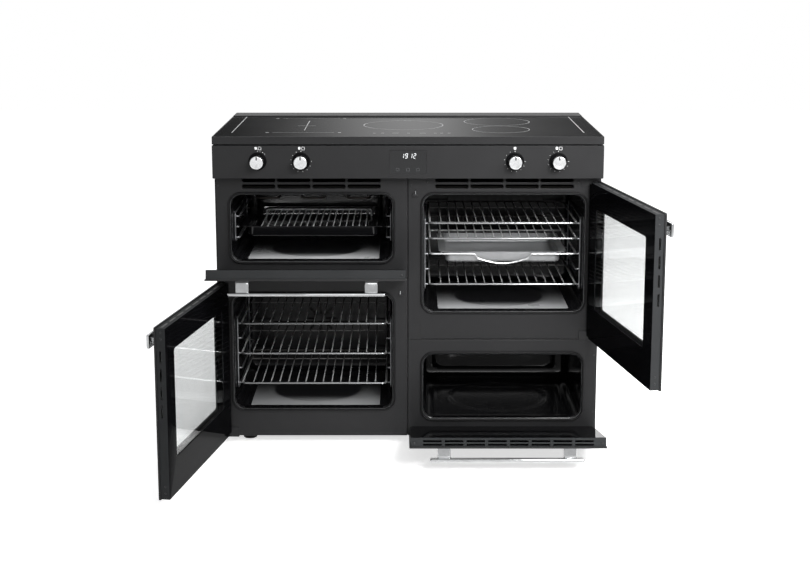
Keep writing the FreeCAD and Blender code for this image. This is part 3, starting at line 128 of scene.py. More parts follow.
def placed(flat, level, axes):
    """A flat outline in space: its two columns run along the first two of the axes named,
    and level along the third."""
    ring = np.zeros((len(flat), 3))
    for values, axis in zip((flat[:, 0], flat[:, 1], level), axes):
        ring[:, "xyz".index(axis)] = values
    return ring


def round_outline(width, height, radius, per_corner=8):
    """A rectangle's outline with its corners rounded, as (spots, 2), centred on nothing.

    Each corner is a quarter circle about a centre one radius in from both sides."""
    quarter = np.linspace(0, math.pi / 2, per_corner + 1)
    angles = (np.arange(4)[:, None] * math.pi / 2 + quarter).ravel()
    hands = np.repeat([[1, 1], [-1, 1], [-1, -1], [1, -1]], per_corner + 1, axis=0)
    middle = hands * [width / 2 - radius, height / 2 - radius]
    return middle + radius * np.stack([np.cos(angles), np.sin(angles)], axis=1)


def soft_slab(centre, width, height, depth, radius, soft, axes="xzy", per_corner=6):
    """A slab whose outline is a rounded rectangle and whose rims are quarter circles.

    axes names the directions of width, height and depth. Ring k of a rim is the outline
    taken in by soft (1 - cos t), at the depth soft (1 - sin t) below the face."""
    insets = np.concatenate([soft * (1 - np.sin(QUARTER)), soft * (1 - np.cos(QUARTER))])
    levels = np.concatenate([soft * (1 - np.cos(QUARTER)), depth - soft * (1 - np.sin(QUARTER))])
    rings = []
    for inset, level in zip(insets, levels):
        inner = max(radius - inset, 0.05)
        flat = round_outline(width - 2 * inset, height - 2 * inset, inner, per_corner)
        rings.append(placed(flat, level - depth / 2, axes))
    return moved(lofted(np.array(rings)), *centre)


def bent(corners, bend, closed=False):
    """A wire's centre line: straight runs, each corner rounded by an arc of radius bend.

    At a corner with the directions u and v back and on, the arc starts bend / tan(a / 2)
    away, where a is the angle between them, and turns about the point on their bisector
    bend / sin(a / 2) away. Its spots are the spherical blend of its two end spokes."""
    corners = np.array(corners, float)
    before, here, after = np.roll(corners, 1, 0), corners, np.roll(corners, -1, 0)
    if not closed:
        before, here, after = corners[:-2], corners[1:-1], corners[2:]
    back, onward = before - here, after - here
    back /= np.linalg.norm(back, axis=1, keepdims=True)
    onward /= np.linalg.norm(onward, axis=1, keepdims=True)
    angle = np.arccos(np.clip((back * onward).sum(1), -1, 1))[:, None]
    bisector = back + onward
    bisector /= np.linalg.norm(bisector, axis=1, keepdims=True)
    pivot = here + bisector * bend / np.sin(angle / 2)
    reach = bend / np.tan(angle / 2)
    first, last = here + back * reach - pivot, here + onward * reach - pivot
    sweep = (math.pi - angle)[:, None, :]
    share = np.linspace(0, 1, ARC_STEPS + 1)[None, :, None]
    arc = np.sin((1 - share) * sweep) * first[:, None] + np.sin(share * sweep) * last[:, None]
    arc /= np.sin(sweep)
    spots = (pivot[:, None] + arc).reshape(-1, 3)
    return spots if closed else np.concatenate([corners[:1], spots, corners[-1:]])


def tube(path, radius, flat=(0, 0, 1), closed=False):
    """A round wire along a path that lies in one plane, whose normal is flat.

    The circle at each spot stands square to the path's direction there: its two axes are
    the plane's normal and the cross product of the direction with it."""
    path = np.asarray(path, float)
    if closed:
        along = np.roll(path, -1, 0) - np.roll(path, 1, 0)
    else:
        along = np.gradient(path, axis=0)
    along /= np.linalg.norm(along, axis=1, keepdims=True)
    up = np.array(flat, float) / np.linalg.norm(flat)
    across = np.cross(along, up)
    across /= np.linalg.norm(across, axis=1, keepdims=True)
    spokes = circle(WIRE_SIDES)[None, :, :, None]
    ring = spokes[:, :, 0] * across[:, None] + spokes[:, :, 1] * up
    return lofted(path[:, None] + radius * ring, around=closed)


def rods(starts, ends, radius):
    """Many straight round wires at once, from an array of starts to an array of ends."""
    return together(*[
        tube([start, end], radius, (0, 0, 1) if abs(end[2] - start[2]) < 1e-6 else (0, 1, 0))
        for start, end in zip(np.atleast_2d(starts), np.atleast_2d(ends))
    ])


def turned(profile, sides=64, axis="y"):
    """A shape turned on a lathe: each spot (radius, along) of the profile goes round the
    axis as (radius cos t, radius sin t). The two ends are closed by a face."""
    axes = {"y": "xzy", "z": "xyz", "x": "yzx"}[axis]
    return lofted(np.array([placed(radius * circle(sides), along, axes) for radius, along in profile]))


def piece(name, shape, material, body, slot, *stands_for, second=None, zone=None):
    """Make one mesh object from a shape in millimetres, dress it, and hang it on its body.

    Faces that zone picks by their middles take the second material."""
    points, faces = shape
    mesh = bpy.data.meshes.new(name)
    mesh.from_pydata((points * MM).tolist(), [], faces)
    mesh.shade_smooth()
    mesh.set_sharp_from_angle(angle=SMOOTH_ANGLE)
    mesh.materials.append(material)
    if second:
        mesh.materials.append(second)
        middles = np.zeros(len(mesh.polygons) * 3)
        mesh.polygons.foreach_get("center", middles)
        chosen = zone(middles.reshape(-1, 3) / MM)
        mesh.polygons.foreach_set("material_index", chosen.astype(int))
    item = bpy.data.objects.new(name, mesh)
    scene.collection.objects.link(item)
    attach(item, body)
    if stands_for:
        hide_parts(*stands_for)
    return item


print("shapes ready: a rounded outline has", len(round_outline(10, 10, 2)), "spots")

# %% [markdown]
# ## Camera
#
# The photograph was taken with the camera level and its film shifted down, so that
# upright edges stay upright. Here the camera tips down by ten and a half degrees and takes
# only a small shift. Its place, tilt and focal length come from a least-squares fit of
# the cooker's corners to their places in the photograph.

# %% Camera
camera = bpy.data.objects.new("camera", bpy.data.cameras.new("camera"))
camera.data.lens = 65.06
camera.data.sensor_width = 36
camera.data.shift_y = -0.08
camera.location = (-0.0083, -4.3719, 1.4186)
camera.rotation_euler = (math.radians(90 - 10.605), 0, 0)
scene.collection.objects.link(camera)
scene.camera = camera
print("camera", tuple(round(v, 3) for v in camera.location), "lens", camera.data.lens)

# %% [markdown]
# ## Colours, nodes and the plain studio
#
# Paint colours are written as they look on a screen, in sRGB, and one function turns them
# into the linear light that a shader adds and multiplies. One more function adds a node
# with its settings and its links. The studio is a pale floor, a white surround that only
# the camera, mirrors and glass see, and broad soft lamps at a level where a colour
# renders about as it is written.

# %% Colour and node helpers
def linear(hex_code):
    """sRGB to linear: c / 12.92 up to 0.04045, and ((c + 0.055) / 1.055) ** 2.4 above."""
    shares = [int(hex_code[start : start + 2], 16) / 255 for start in (1, 3, 5)]
    return tuple(c / 12.92 if c <= 0.04045 else ((c + 0.055) / 1.055) ** 2.4 for c in shares) + (1,)


def add(tree, kind, sockets=None, **settings):
    """Add one node: settings are its properties, and sockets are its inputs by name or by
    number. Each is a plain value, a hex colour, a node's output, or a node that stands for
    its first live output. A Map Range takes its range at 1 and 2 to that at 3 and 4, and a
    Mix of colours goes from 6 to 7."""
    item = tree.nodes.new("ShaderNode" + kind)
    for name, value in settings.items():
        setattr(item, name, value)
    for name, value in (sockets or {}).items():
        if isinstance(value, bpy.types.Node):
            value = next(output for output in value.outputs if output.enabled)
        if isinstance(value, bpy.types.NodeSocket):
            tree.links.new(value, item.inputs[name])
        else:
            item.inputs[name].default_value = linear(value) if isinstance(value, str) else value
    return item


def blank(name):
    """A material with an empty node tree, and that tree."""
    material = bpy.data.materials.new(name)
    material.use_nodes = True
    material.node_tree.nodes.clear()
    return material, material.node_tree


def surfaced(tree, place, grain_mm, relief_mm, sockets, strength=1.0):
    """End a material: a fine grain of one size in millimetres, raised by another, and a
    principled surface with the sockets given."""
    grain = add(tree, "TexNoise", {"Vector": place, "Scale": 1 / (grain_mm * MM), "Detail": 2.0})
    lift = add(tree, "Bump", {"Height": grain, "Distance": relief_mm * MM, "Strength": strength})
    shader = add(tree, "BsdfPrincipled", {**sockets, "Normal": lift})
    add(tree, "OutputMaterial", {"Surface": shader})


def seen_in_mirrors(tree):
    """1 for rays from the camera, off a mirror or through glass, and 0 for the rest."""
    path = add(tree, "LightPath")
    seen = path.outputs["Is Camera Ray"]
    for other in ("Is Glossy Ray", "Is Transmission Ray"):
        seen = add(tree, "Math", {0: seen, 1: path.outputs[other]}, operation="MAXIMUM")
    return seen


# %% World, floor and lamps
scene.view_settings.view_transform = "Standard"
world = bpy.data.worlds.new("studio")
world.use_nodes = True
scene.world = world
sky = world.node_tree
sky.nodes.clear()
plain = add(sky, "Background", {"Color": "#FFFFFF", "Strength": 0.42})
white = add(sky, "Background", {"Color": "#FFFFFF", "Strength": 1.0})
choice = add(sky, "MixShader", {0: seen_in_mirrors(sky), 1: plain, 2: white})
add(sky, "OutputWorld", {"Surface": choice})

studio_floor, tree = blank("studio_floor_paint")
matt = add(tree, "BsdfDiffuse", {"Color": "#F4F4F4"})
glow = add(tree, "Emission", {"Color": "#FFFFFF", "Strength": 0.66})
dark = add(tree, "Emission", {"Strength": 0.0})
pick = add(tree, "MixShader", {0: seen_in_mirrors(tree), 1: dark, 2: glow})
total = add(tree, "AddShader", {0: matt, 1: pick})
add(tree, "OutputMaterial", {"Surface": total})

ground = bpy.data.meshes.new("studio_floor")
ground.from_pydata([(-9, -9, 0), (9, -9, 0), (9, 9, 0), (-9, 9, 0)], [], [(0, 1, 2, 3)])
ground.materials.append(studio_floor)
studio = bpy.data.objects.new("studio_floor", ground)
scene.collection.objects.link(studio)

LAMPS = {
    # name: place, the point it faces, size across and up, watts, spread in degrees
    "key": ((2.3, -1.7, 2.8), (0.2, 0, 0.5), 1.5, 1.4, 72, 180),
    "right": ((1.3, -3.3, 2.3), (0.85, 0, 0.5), 1.2, 1.2, 25, 60),
    "front": ((0.1, -3.4, 2.0), (0, 0, 0.4), 1.2, 1.0, 11, 180),
    "back": ((0.2, 2.4, 3.0), (0, 0, 0.7), 3.0, 1.2, 40, 180),
    "grill_sill_lamp": ((-0.275, -0.246, 0.600), (-0.275, -0.17, 0.55), 0.40, 0.012, 0.24, 120),
    "trivet_lamp": ((-0.275, -0.249, 0.668), (-0.275, 0.05, 0.578), 0.36, 0.012, 0.10, 36),
    "left_sill_lamp": ((-0.275, -0.246, 0.160), (-0.275, -0.17, 0.11), 0.40, 0.012, 0.06, 120),
    "right_sill_lamp": ((0.275, -0.246, 0.452), (0.275, -0.17, 0.40), 0.40, 0.012, 0.19, 120),
    "slow_sill_lamp": ((0.275, -0.246, 0.240), (0.275, 0.05, 0.12), 0.40, 0.012, 0.10, 160),
}
for name, (place, aim, wide, high, watts, spread) in LAMPS.items():
    lamp = bpy.data.lights.new(name, "AREA")
    lamp.shape = "RECTANGLE"
    lamp.size, lamp.size_y, lamp.energy, lamp.spread = wide, high, watts, math.radians(spread)
    stand = bpy.data.objects.new(name, lamp)
    facing = np.array(aim) - np.array(place)
    stand.location = place
    level = math.hypot(facing[0], facing[1])
    stand.rotation_euler = (math.atan2(level, -facing[2]), 0, math.atan2(-facing[0], facing[1]))
    stand.visible_camera = False
    scene.collection.objects.link(stand)
print("lamps", list(LAMPS))

# a graded card far behind the cooker: only the gloss of the hob sees it
card_paint, tree = blank("studio_card_gradient")
place = add(tree, "TexCoord").outputs["Object"]
apart = add(tree, "SeparateXYZ", {0: place})
SHADES = ((0.0, 0.03), (0.26, 0.05), (0.52, 0.62), (0.70, 0.14), (1.0, 0.04))
across = add(tree, "MapRange", {0: apart.outputs["X"], 1: -1.5, 2: 1.5})
ramp = add(tree, "ValToRGB", {0: across})
ramp.color_ramp.interpolation = "B_SPLINE"
while len(ramp.color_ramp.elements) < len(SHADES):
    ramp.color_ramp.elements.new(0.5)
for stop, (at, shade) in zip(ramp.color_ramp.elements, SHADES):
    stop.position, stop.color = at, (shade, shade, shade, 1)
card_glow = add(tree, "Emission", {"Color": ramp, "Strength": 1.0})
add(tree, "OutputMaterial", {"Surface": card_glow})
card_mesh = bpy.data.meshes.new("studio_card")
corners = [(-2.4, 6, -0.2), (2.4, 6, -0.2), (2.4, 6, 2.3), (-2.4, 6, 2.3)]
card_mesh.from_pydata(corners, [], [(0, 1, 2, 3)])
card_mesh.materials.append(card_paint)
card = bpy.data.objects.new("studio_card", card_mesh)
scene.collection.objects.link(card)
card.visible_camera = card.visible_diffuse = card.visible_transmission = card.visible_shadow = False

# %% [markdown]
# ## Finishes
#
# Every finish below is one recipe with its own numbers, taken from what the real surface
# is. A soft cloudiness, some centimetres across, moves the colour and the roughness a
# little, as dust, handling and the spray of a paint do. A fine grain gives the relief:
# the pebble of a satin powder coat, the faint orange peel of enamel, the drawing lines
# of wire.

# %% The recipe for a finish
def finish(name, deep, light, rough, cloud_mm, grain_mm, relief_mm, metallic=0.0, **sockets):
    """Cloudy colour from deep to light and roughness over rough, with a fine grain.

    A noise's scale is one over its size in metres; the relief's height is given in
    millimetres."""
    material, tree = blank(name)
    place = add(tree, "TexCoord").outputs["Object"]
    cloud = add(tree, "TexNoise", {"Vector": place, "Scale": 1 / (cloud_mm * MM),
                                   "Detail": 4.0, "Roughness": 0.6})
    tint = add(tree, "Mix", {0: cloud, 6: deep, 7: light}, data_type="RGBA")
    gloss = add(tree, "MapRange", {0: cloud, 1: 0.3, 2: 0.7, 3: rough[0], 4: rough[1]})
    sockets = {socket.replace("_", " "): value for socket, value in sockets.items()}
    sockets.update({"Base Color": tint, "Roughness": gloss, "Metallic": metallic})
    surfaced(tree, place, grain_mm, relief_mm, sockets)
    return material


# satin polyester powder coat on pressed steel: a fine pebble that breaks reflections up
satin_paint = finish("satin_black_powder_coat", "#1B1B1C", "#222223", (0.38, 0.48), 160, 1.6, 0.012,
                     Specular_IOR_Level=0.2)
# the same paint on the thin folded channels of the doors, where more steel shows grey
channel_paint = finish("satin_grey_channel_paint", "#232425", "#2D2E2F", (0.32, 0.44), 90, 1.6, 0.012,
                       Specular_IOR_Level=0.25)
# vitreous enamel, fired on: glossy and near black, with a faint orange peel
enamel = finish("black_vitreous_enamel", "#08080A", "#101011", (0.12, 0.22), 120, 9.0, 0.012, IOR=1.2)
# the same enamel where little heat has dulled it: glossier
fresh_enamel = finish("glossy_black_enamel", "#08080A", "#101011", (0.07, 0.15), 120, 9.0, 0.010, IOR=1.42)
# black glass-ceramic hob: flat and smooth, with a little haze from wiping
hob_glass = finish("black_glass_ceramic", "#08080A", "#101113", (0.05, 0.12), 220, 60.0, 0.004, IOR=1.5)
# polished chromium plate on the handles
chrome = finish("polished_chrome_plate", "#98999A", "#BABBBC", (0.05, 0.12), 24, 2.5, 0.003, metallic=1.0)
# satin chrome on the knobs, which scatters more and looks paler
satin_chrome = finish("satin_chrome_plate", "#C2C3C4", "#EAEBEC", (0.16, 0.28), 9, 1.5, 0.006, metallic=1.0)
# nickel-chromed wire, drawn and welded: bright along its back and duller with use
chromed_wire = finish("chromed_steel_wire", "#A2A3A4", "#C6C7C8", (0.24, 0.40), 30, 1.2, 0.006, metallic=0.55)
# the fixed ladders: the same wire, dulled by years of heat
dull_wire = finish("heat_dulled_wire", "#5C5D5F", "#848587", (0.30, 0.45), 30, 1.2, 0.006, metallic=0.6)
# tinned steel sheet of the roasting tin, satin and a little cloudy
tinned_steel = finish("satin_tinned_steel", "#737475", "#8F9091", (0.30, 0.46), 70, 1.4, 0.006, metallic=0.35)
# the fans: aluminised steel, smoked brown
smoked_steel = finish("smoked_fan_steel", "#1E1D1C", "#2C2A29", (0.40, 0.55), 25, 1.2, 0.006, metallic=0.6)
# galvanised steel at the back, with its spangle
galvanised = finish("galvanised_steel", "#8B8E90", "#AEB1B3", (0.38, 0.55), 18, 1.5, 0.006, metallic=1.0)
# silicone door seals, dark and soft
seal_rubber = finish("door_seal_silicone", "#0D0D0E", "#161617", (0.40, 0.55), 25, 1.2, 0.03,
                     Specular_IOR_Level=0.15)
# black moulded plastic of the bezels and the switches
moulded_black = finish("moulded_black_nylon", "#060607", "#0B0B0C", (0.34, 0.46), 30, 1.0, 0.01,
                       Specular_IOR_Level=0.03)
rubber = finish("black_foot_rubber", "#161616", "#202020", (0.6, 0.75), 20, 1.2, 0.03)
# the wool jacket, painted near black as painted shade where it shows through the vents, and
# the copper of the coils, both hidden inside
wool_painted_shade = finish("wool_jacket_painted_shade", "#0A0A09", "#121110", (0.85, 0.95), 20, 1.5, 0.4,
                      Specular_IOR_Level=0.05)
copper_wire = finish("enamelled_copper", "#8A4A2B", "#A65F3A", (0.3, 0.4), 12, 1.5, 0.05, metallic=1.0)
# bright zinc on the catches
bright_zinc = finish("bright_zinc_plate", "#9A9C9E", "#BFC1C3", (0.22, 0.34), 15, 1.2, 0.004, metallic=1.0)
print("finishes", len(bpy.data.materials))

# %% [markdown]
# ## Glass, and doors with two finishes on one pressing
#
# The windows are clear float glass, a little smeared by wiping, so their roughness is
# clouded. A door's inner face is black printed glass over a painted pressing. Both are
# one solid in the frame, so the finish asks how far each point lies along the door's own
# normal: on the outermost layer it is the gloss black, and behind it the channel's paint.

# %% Window glass and the doors' inner pressings
window_glass, tree = blank("clear_float_glass")
place = add(tree, "TexCoord").outputs["Object"]
smear = add(tree, "TexNoise", {"Vector": place, "Scale": 1 / (60 * MM), "Detail": 3.0})
haze = add(tree, "MapRange", {0: smear, 1: 0.35, 2: 0.75, 3: 0.0, 4: 0.012})
shader = add(tree, "BsdfPrincipled", {"Base Color": "#F3F4F4", "Roughness": haze, "IOR": 1.25,
                                      "Transmission Weight": 1.0})
add(tree, "OutputMaterial", {"Surface": shader})

# y of the hinges' pins, and how far a door's inner plane lies behind its pin
HINGE_Y, INNER_PLANE = -277.0, 15.2
DOORS = {
    # body: pin, axis the door turns about, degrees it stands open
    "left_oven_door": ((-532.5, HINGE_Y, 33.0), "z", -100.4),
    "right_oven_door": ((532.5, HINGE_Y, 325.0), "z", 100.4),
    "grill_door": ((LEFT, HINGE_Y, 515.0), "x", 78.0),
    "slow_oven_door": ((RIGHT, HINGE_Y, 45.0), "x", 78.0),
}


def swung(points, door):
    """Points drawn on the shut door, about its pin, turned to where the open door stands."""
    pin, axis, degrees = DOORS[door]
    c, s = math.cos(math.radians(degrees)), math.sin(math.radians(degrees))
    matrix = {"z": [[c, -s, 0], [s, c, 0], [0, 0, 1]], "x": [[1, 0, 0], [0, c, -s], [0, s, c]]}[axis]
    return np.asarray(points, float) @ np.array(matrix).T + np.array(pin)


def on_door(shape, door):
    """A whole shape drawn on the shut door, moved to the open one."""
    points, faces = shape
    return swung(points, door), faces


def inner_pressing(door):
    """Gloss black where a point lies within 1 mm of the door's inner plane, else paint."""
    pin = swung([[0, 0, 0]], door)[0]
    normal = swung([[0, 1, 0]], door)[0] - pin
    plane = (float(normal @ pin) + INNER_PLANE - 1) * MM
    material, tree = blank(f"{door}_inner_finish")
    place = add(tree, "TexCoord").outputs["Object"]
    height = add(tree, "VectorMath", {0: place, 1: tuple(normal)}, operation="DOT_PRODUCT")
    top = add(tree, "Math", {0: height, 1: plane}, operation="GREATER_THAN")
    cloud = add(tree, "TexNoise", {"Vector": place, "Scale": 1 / (110 * MM), "Detail": 4.0})
    black = add(tree, "Mix", {0: cloud, 6: "#070708", 7: "#0E0E10"}, data_type="RGBA")
    grey = add(tree, "Mix", {0: cloud, 6: "#2B2C2D", 7: "#363738"}, data_type="RGBA")
    tint = add(tree, "Mix", {0: top, 6: grey, 7: black}, data_type="RGBA")
    satin = add(tree, "MapRange", {0: cloud, 1: 0.3, 2: 0.7, 3: 0.32, 4: 0.42})
    rough = add(tree, "Mix", {0: top, 2: satin, 3: 0.07})
    soft = add(tree, "Math", {0: 1.0, 1: top}, operation="SUBTRACT")
    surfaced(tree, place, 1.6, 0.012, {"Base Color": tint, "Roughness": rough, "IOR": 1.06}, soft)
    return material


door_inners = {door: inner_pressing(door) for door in DOORS}
print("door pressings", list(door_inners))

# %% [markdown]
# ## The solids that stay
#
# Flat sheet metal is already right as a solid: the four front frames with their vents,
# the side panels, the hob's trim, the control panel and the doors' skins. Each takes its
# finish, and a bevel rounds the sharp edges by a millimetre or two, because folded and
# painted steel never ends in a perfect edge and that thin rim catches the light.

# %% Finishes and soft edges on the frame's own solids
FINISHES = {name: material for material, names in (
    (satin_paint, "base_tray left_side_panel right_side_panel grill_front left_oven_front "
                  "right_oven_front slow_oven_front hob_frame rear_trim control_panel frame_hardware"),
    (galvanised, "back_panel power_module fan_motors"),
    (hob_glass, "hob_glass clock_display"),
    (window_glass, "left_oven_door_glass right_oven_door_glass"),
    (smoked_steel, "left_oven_fan right_oven_fan"),
    (wool_painted_shade, "insulation"),
    (copper_wire, "induction_coils"),
    (moulded_black, "knob_switches"),
    (enamel, "fan_covers"),
) for name in names.split()}
for door in DOORS:
    FINISHES[f"{door}_outer_panel"] = satin_paint
    FINISHES[f"{door}_liner"] = door_inners[door]

SOFT_EDGES = {
    # node: how far its edges are rounded, in millimetres
    "left_side_panel": 0.8, "right_side_panel": 0.8, "grill_front": 2.4, "left_oven_front": 2.4,
    "right_oven_front": 2.4, "slow_oven_front": 2.4, "hob_frame": 1.2, "control_panel": 1.0,
    "rear_trim": 0.6, "base_tray": 0.6, "fan_covers": 0.8, "frame_hardware": 1.2,
}
for door in DOORS:
    SOFT_EDGES[f"{door}_outer_panel"] = 1.4
    SOFT_EDGES[f"{door}_liner"] = 0.8


def dress(name, material):
    """Put one finish in the node's slots and weld and round its edges by modifiers."""
    item = nodes[name]
    item.data.materials.clear()
    item.data.materials.append(material)
    if name in SOFT_EDGES:
        weld = item.modifiers.new("weld", "WELD")
        weld.merge_threshold = 0.02 * MM
        rim = item.modifiers.new("rim", "BEVEL")
        rim.width = SOFT_EDGES[name] * MM
        rim.segments = 2
        rim.limit_method = "ANGLE"
        rim.angle_limit = math.radians(40)
        rim.harden_normals = True


for name, material in FINISHES.items():
    dress(name, material)
print("dressed", len(FINISHES), "of", len(nodes), "nodes")

# %% [markdown]
# ## Enamelled liners
#
# Each cavity is a deep-drawn steel box: one smooth skin whose mouth, walls, floor and back
# run into each other in round corners, with a shallow round dish pressed into its floor.
# A skin like that is a rounded rectangle carried to the back, ring by ring. The dish is a
# height taken off the floor by the distance from its middle, and the back is the same
# outline shrunk to its middle, with a panel that a smooth step brings forward.

# %% Four liners
HALF_OPENING, CORNER, CAVITY_FRONT, CAVITY_BACK = 229.0, 28.0, -256.2, 165.0
# a liner's rings along its walls and across its back, and the spots on each ring
WALL_RINGS, BACK_RINGS, RING_SPOTS = 64, 26, 240
DISH_Y, DISH_RIM, DISH_FOOT, DISH_DEPTH, FLOOR_DEPTH = -39.0, 152.0, 139.0, 3.0, 1.6
CAVITIES = {
    # cavity: middle, sill, opening height, how far the panel in its back stands out
    "grill": (LEFT, 552.0, 190.0, 8.0),
    "left_oven": (LEFT, 112.0, 338.0, 0.0),
    "right_oven": (RIGHT, 404.0, 338.0, 0.0),
    "slow_oven": (RIGHT, 82.0, 190.0, 8.0),
}


def step(value, start, end):
    """A smooth step: 0 up to start, 1 from end, and 3 t^2 - 2 t^3 between."""
    share = np.clip((value - start) / (end - start), 0, 1)
    return share * share * (3 - 2 * share)


def even_outline(width, height, radius):
    """The rounded outline again, with its spots spread evenly along its length."""
    loop = round_outline(width, height, radius, 10)
    loop = np.concatenate([loop, loop[:1]])
    length = np.concatenate([[0], np.cumsum(np.linalg.norm(np.diff(loop, axis=0), axis=1))])
    target = np.linspace(0, length[-1], RING_SPOTS, endpoint=False)
    return np.stack([np.interp(target, length, loop[:, k]) for k in (0, 1)], axis=1)


FLOOR_HALF, FLOOR_FRONT, FLOOR_BACK = 190.0, -226.0, 138.0


def sunk_floor(x, y, soft):
    """1 inside the floor's sunk rectangle and 0 outside, over a soft edge."""
    past = np.maximum(np.abs(x) - FLOOR_HALF, np.maximum(FLOOR_FRONT - y, y - FLOOR_BACK))
    return 1 - step(past, -soft, soft)


def liner(middle, sill, height, emboss):
    """Rings go from a lip on the front frame, round a 3 mm turn, along the walls and round
    a wider turn to the back, which is the same outline shrunk about its middle."""
    lip_out, lip_y = 3.2 * (1 - np.sin(QUARTER)), CAVITY_FRONT + 3.2 * (1 - np.cos(QUARTER))
    bend = 24 if emboss else 14
    walls = np.linspace(lip_y[-1] + 4, CAVITY_BACK - bend, WALL_RINGS)
    back_in, back_y = bend * (1 - np.cos(QUARTER)), CAVITY_BACK - bend * (1 - np.sin(QUARTER))
    offsets = np.concatenate([lip_out, np.zeros(WALL_RINGS), -back_in])
    levels = np.concatenate([lip_y, walls, back_y])
    rings = []
    for offset, y in zip(offsets, levels):
        flat = even_outline(2 * (HALF_OPENING + offset), height + 2 * offset, CORNER + offset)
        rings.append(placed(flat, y, "xzy"))
    last = rings[-1]
    rings += [last * [share, 1, share] for share in np.linspace(1, 0.01, BACK_RINGS)[1:]]
    rings = np.array(rings)
    floor = rings[:, :, 2] < -height / 2 + 1
    reach = np.hypot(rings[:, :, 0], rings[:, :, 1] - DISH_Y)
    rings[:, :, 2] -= DISH_DEPTH * floor * (1 - step(reach, DISH_FOOT, DISH_RIM))
    rings[:, :, 2] -= FLOOR_DEPTH * floor * sunk_floor(rings[:, :, 0], rings[:, :, 1], 3)
    # the panel in the back: how far a spot lies outside a rectangle with corners of 30 mm
    back = rings[-BACK_RINGS:]
    past = np.stack([np.abs(back[:, :, 0]) - 168, np.abs(back[:, :, 2]) - (height / 2 - 56)])
    outside = np.hypot(*np.maximum(past, 0)) + np.minimum(past.max(axis=0), 0) - 30
    back[:, :, 1] -= emboss * (1 - step(outside, -12, 0))
    points, faces = lofted(rings, caps=False)
    faces.append(list(range(len(points) - RING_SPOTS, len(points))))
    return points + [middle, 0, sill + height / 2], faces


# the floors' sunk middles are painted light and shade: a satin light grey near the door as
# painted light, turning black towards the back and in the dish as painted shade
floor_painted_light_and_shade, tree = blank("enamel_floor_painted_light_and_shade")
place = add(tree, "TexCoord").outputs["Object"]
apart = add(tree, "SeparateXYZ", {0: place})
folded = add(tree, "Math", {0: apart.outputs["X"]}, operation="ABSOLUTE")
sideways = add(tree, "Math", {0: folded, 1: RIGHT * MM}, operation="SUBTRACT")
backward = add(tree, "Math", {0: apart.outputs["Y"], 1: DISH_Y * MM}, operation="SUBTRACT")
flat = add(tree, "CombineXYZ", {0: sideways, 1: backward})
reach = add(tree, "VectorMath", {0: flat}, operation="LENGTH")
# masks of painted shade: in the dish behind its front edge, and fading in towards the back
in_dish, behind, back_shade_mask = (
    add(tree, "MapRange", {0: value, 1: low, 2: high}, interpolation_type="SMOOTHSTEP")
    for value, low, high in ((reach, 0.151, 0.128), (apart.outputs["Y"], -0.200, -0.115),
                             (apart.outputs["Y"], -0.195, 0.01)))
dish = add(tree, "Math", {0: in_dish, 1: behind}, operation="MULTIPLY")
painted_shade_mask = add(tree, "Math", {0: dish, 1: back_shade_mask}, operation="MAXIMUM")
cloud = add(tree, "TexNoise", {"Vector": place, "Scale": 1 / (150 * MM), "Detail": 4.0})
# the light grey is painted light on the floor's front; the black is painted shade
painted_lit_grey = add(tree, "Mix", {0: cloud, 6: "#757677", 7: "#8A8B8C"}, data_type="RGBA")
tint = add(tree, "Mix", {0: painted_shade_mask, 6: painted_lit_grey, 7: "#101012"}, data_type="RGBA")
gloss = add(tree, "MapRange", {0: cloud, 1: 0.3, 2: 0.7, 3: 0.26, 4: 0.36})
surfaced(tree, place, 9.0, 0.012, {"Base Color": tint, "Roughness": gloss})
for cavity, row in CAVITIES.items():
    def on_floor(spots, middle=row[0], sill=row[1]):
        """The sunk part of the floor, with its dish."""
        return (spots[:, 2] < sill + 1) & (sunk_floor(spots[:, 0] - middle, spots[:, 1], 0.5) > 0.5)

    walls_finish = fresh_enamel if cavity == "slow_oven" else enamel
    floor_finish = fresh_enamel if cavity == "slow_oven" else floor_painted_light_and_shade
    item = piece(f"{cavity}_liner_skin", liner(*row), walls_finish, "cabinet", "enamel",
                 f"{cavity}_cavity", second=floor_finish, zone=on_floor)
    wall = item.modifiers.new("wall", "SOLIDIFY")
    wall.thickness = 1.2 * MM
    wall.offset = -1
    print(cavity, "liner", len(item.data.polygons), "faces")

# %% [markdown]
# ## Door seals
#
# A soft dark bead runs round each opening, and a thin ridge of the pressing stands just
# inside it, painted a light grey as a painted highlight. A bead is a profile carried round
# the opening: every spot of the profile says how far outside the opening it lies and how
# far it stands forward.

# %% Four seals and the ridges inside them
def round_openings(profile):
    """Carry a closed profile of (outward, forward) round each cavity's opening."""
    shapes = []
    for middle, sill, height, _ in CAVITIES.values():
        rings = []
        for outward, forward in profile:
            wide, high = 2 * (HALF_OPENING + outward), height + 2 * outward
            flat = round_outline(wide, high, CORNER + outward, 12)
            rings.append(placed(flat, FACE_Y - forward, "xzy"))
        shapes.append(moved(lofted(np.array(rings), around=True), middle, 0, sill + height / 2))
    return together(*shapes)


bead = [6.5, 3.35] + circle(14) * [3.0, 3.35]
ridge = [2.6, 1.1] + circle(14) * 0.7
piece("door_seals", round_openings(bead), seal_rubber, "cabinet", "rubber", "oven_seals")
# the ridge's light grey is a painted highlight along the pressing's edge
ridge_painted_highlight = finish("ridge_paint_painted_highlight", "#3C3D3E", "#4A4B4C", (0.24, 0.34), 60, 1.4, 0.01)
piece("opening_ridges", round_openings(ridge), ridge_painted_highlight, "cabinet", "black_steel")
print("seals round", len(CAVITIES), "openings")

# %% [markdown]
# ## Wire ladders
#
# On each side wall hangs a ladder bent from 5 mm wire: a closed loop against the wall, and
# runners that stand in from it with a bend at each end. Every wire here is a straight
# path with rounded corners and a circle carried along it.

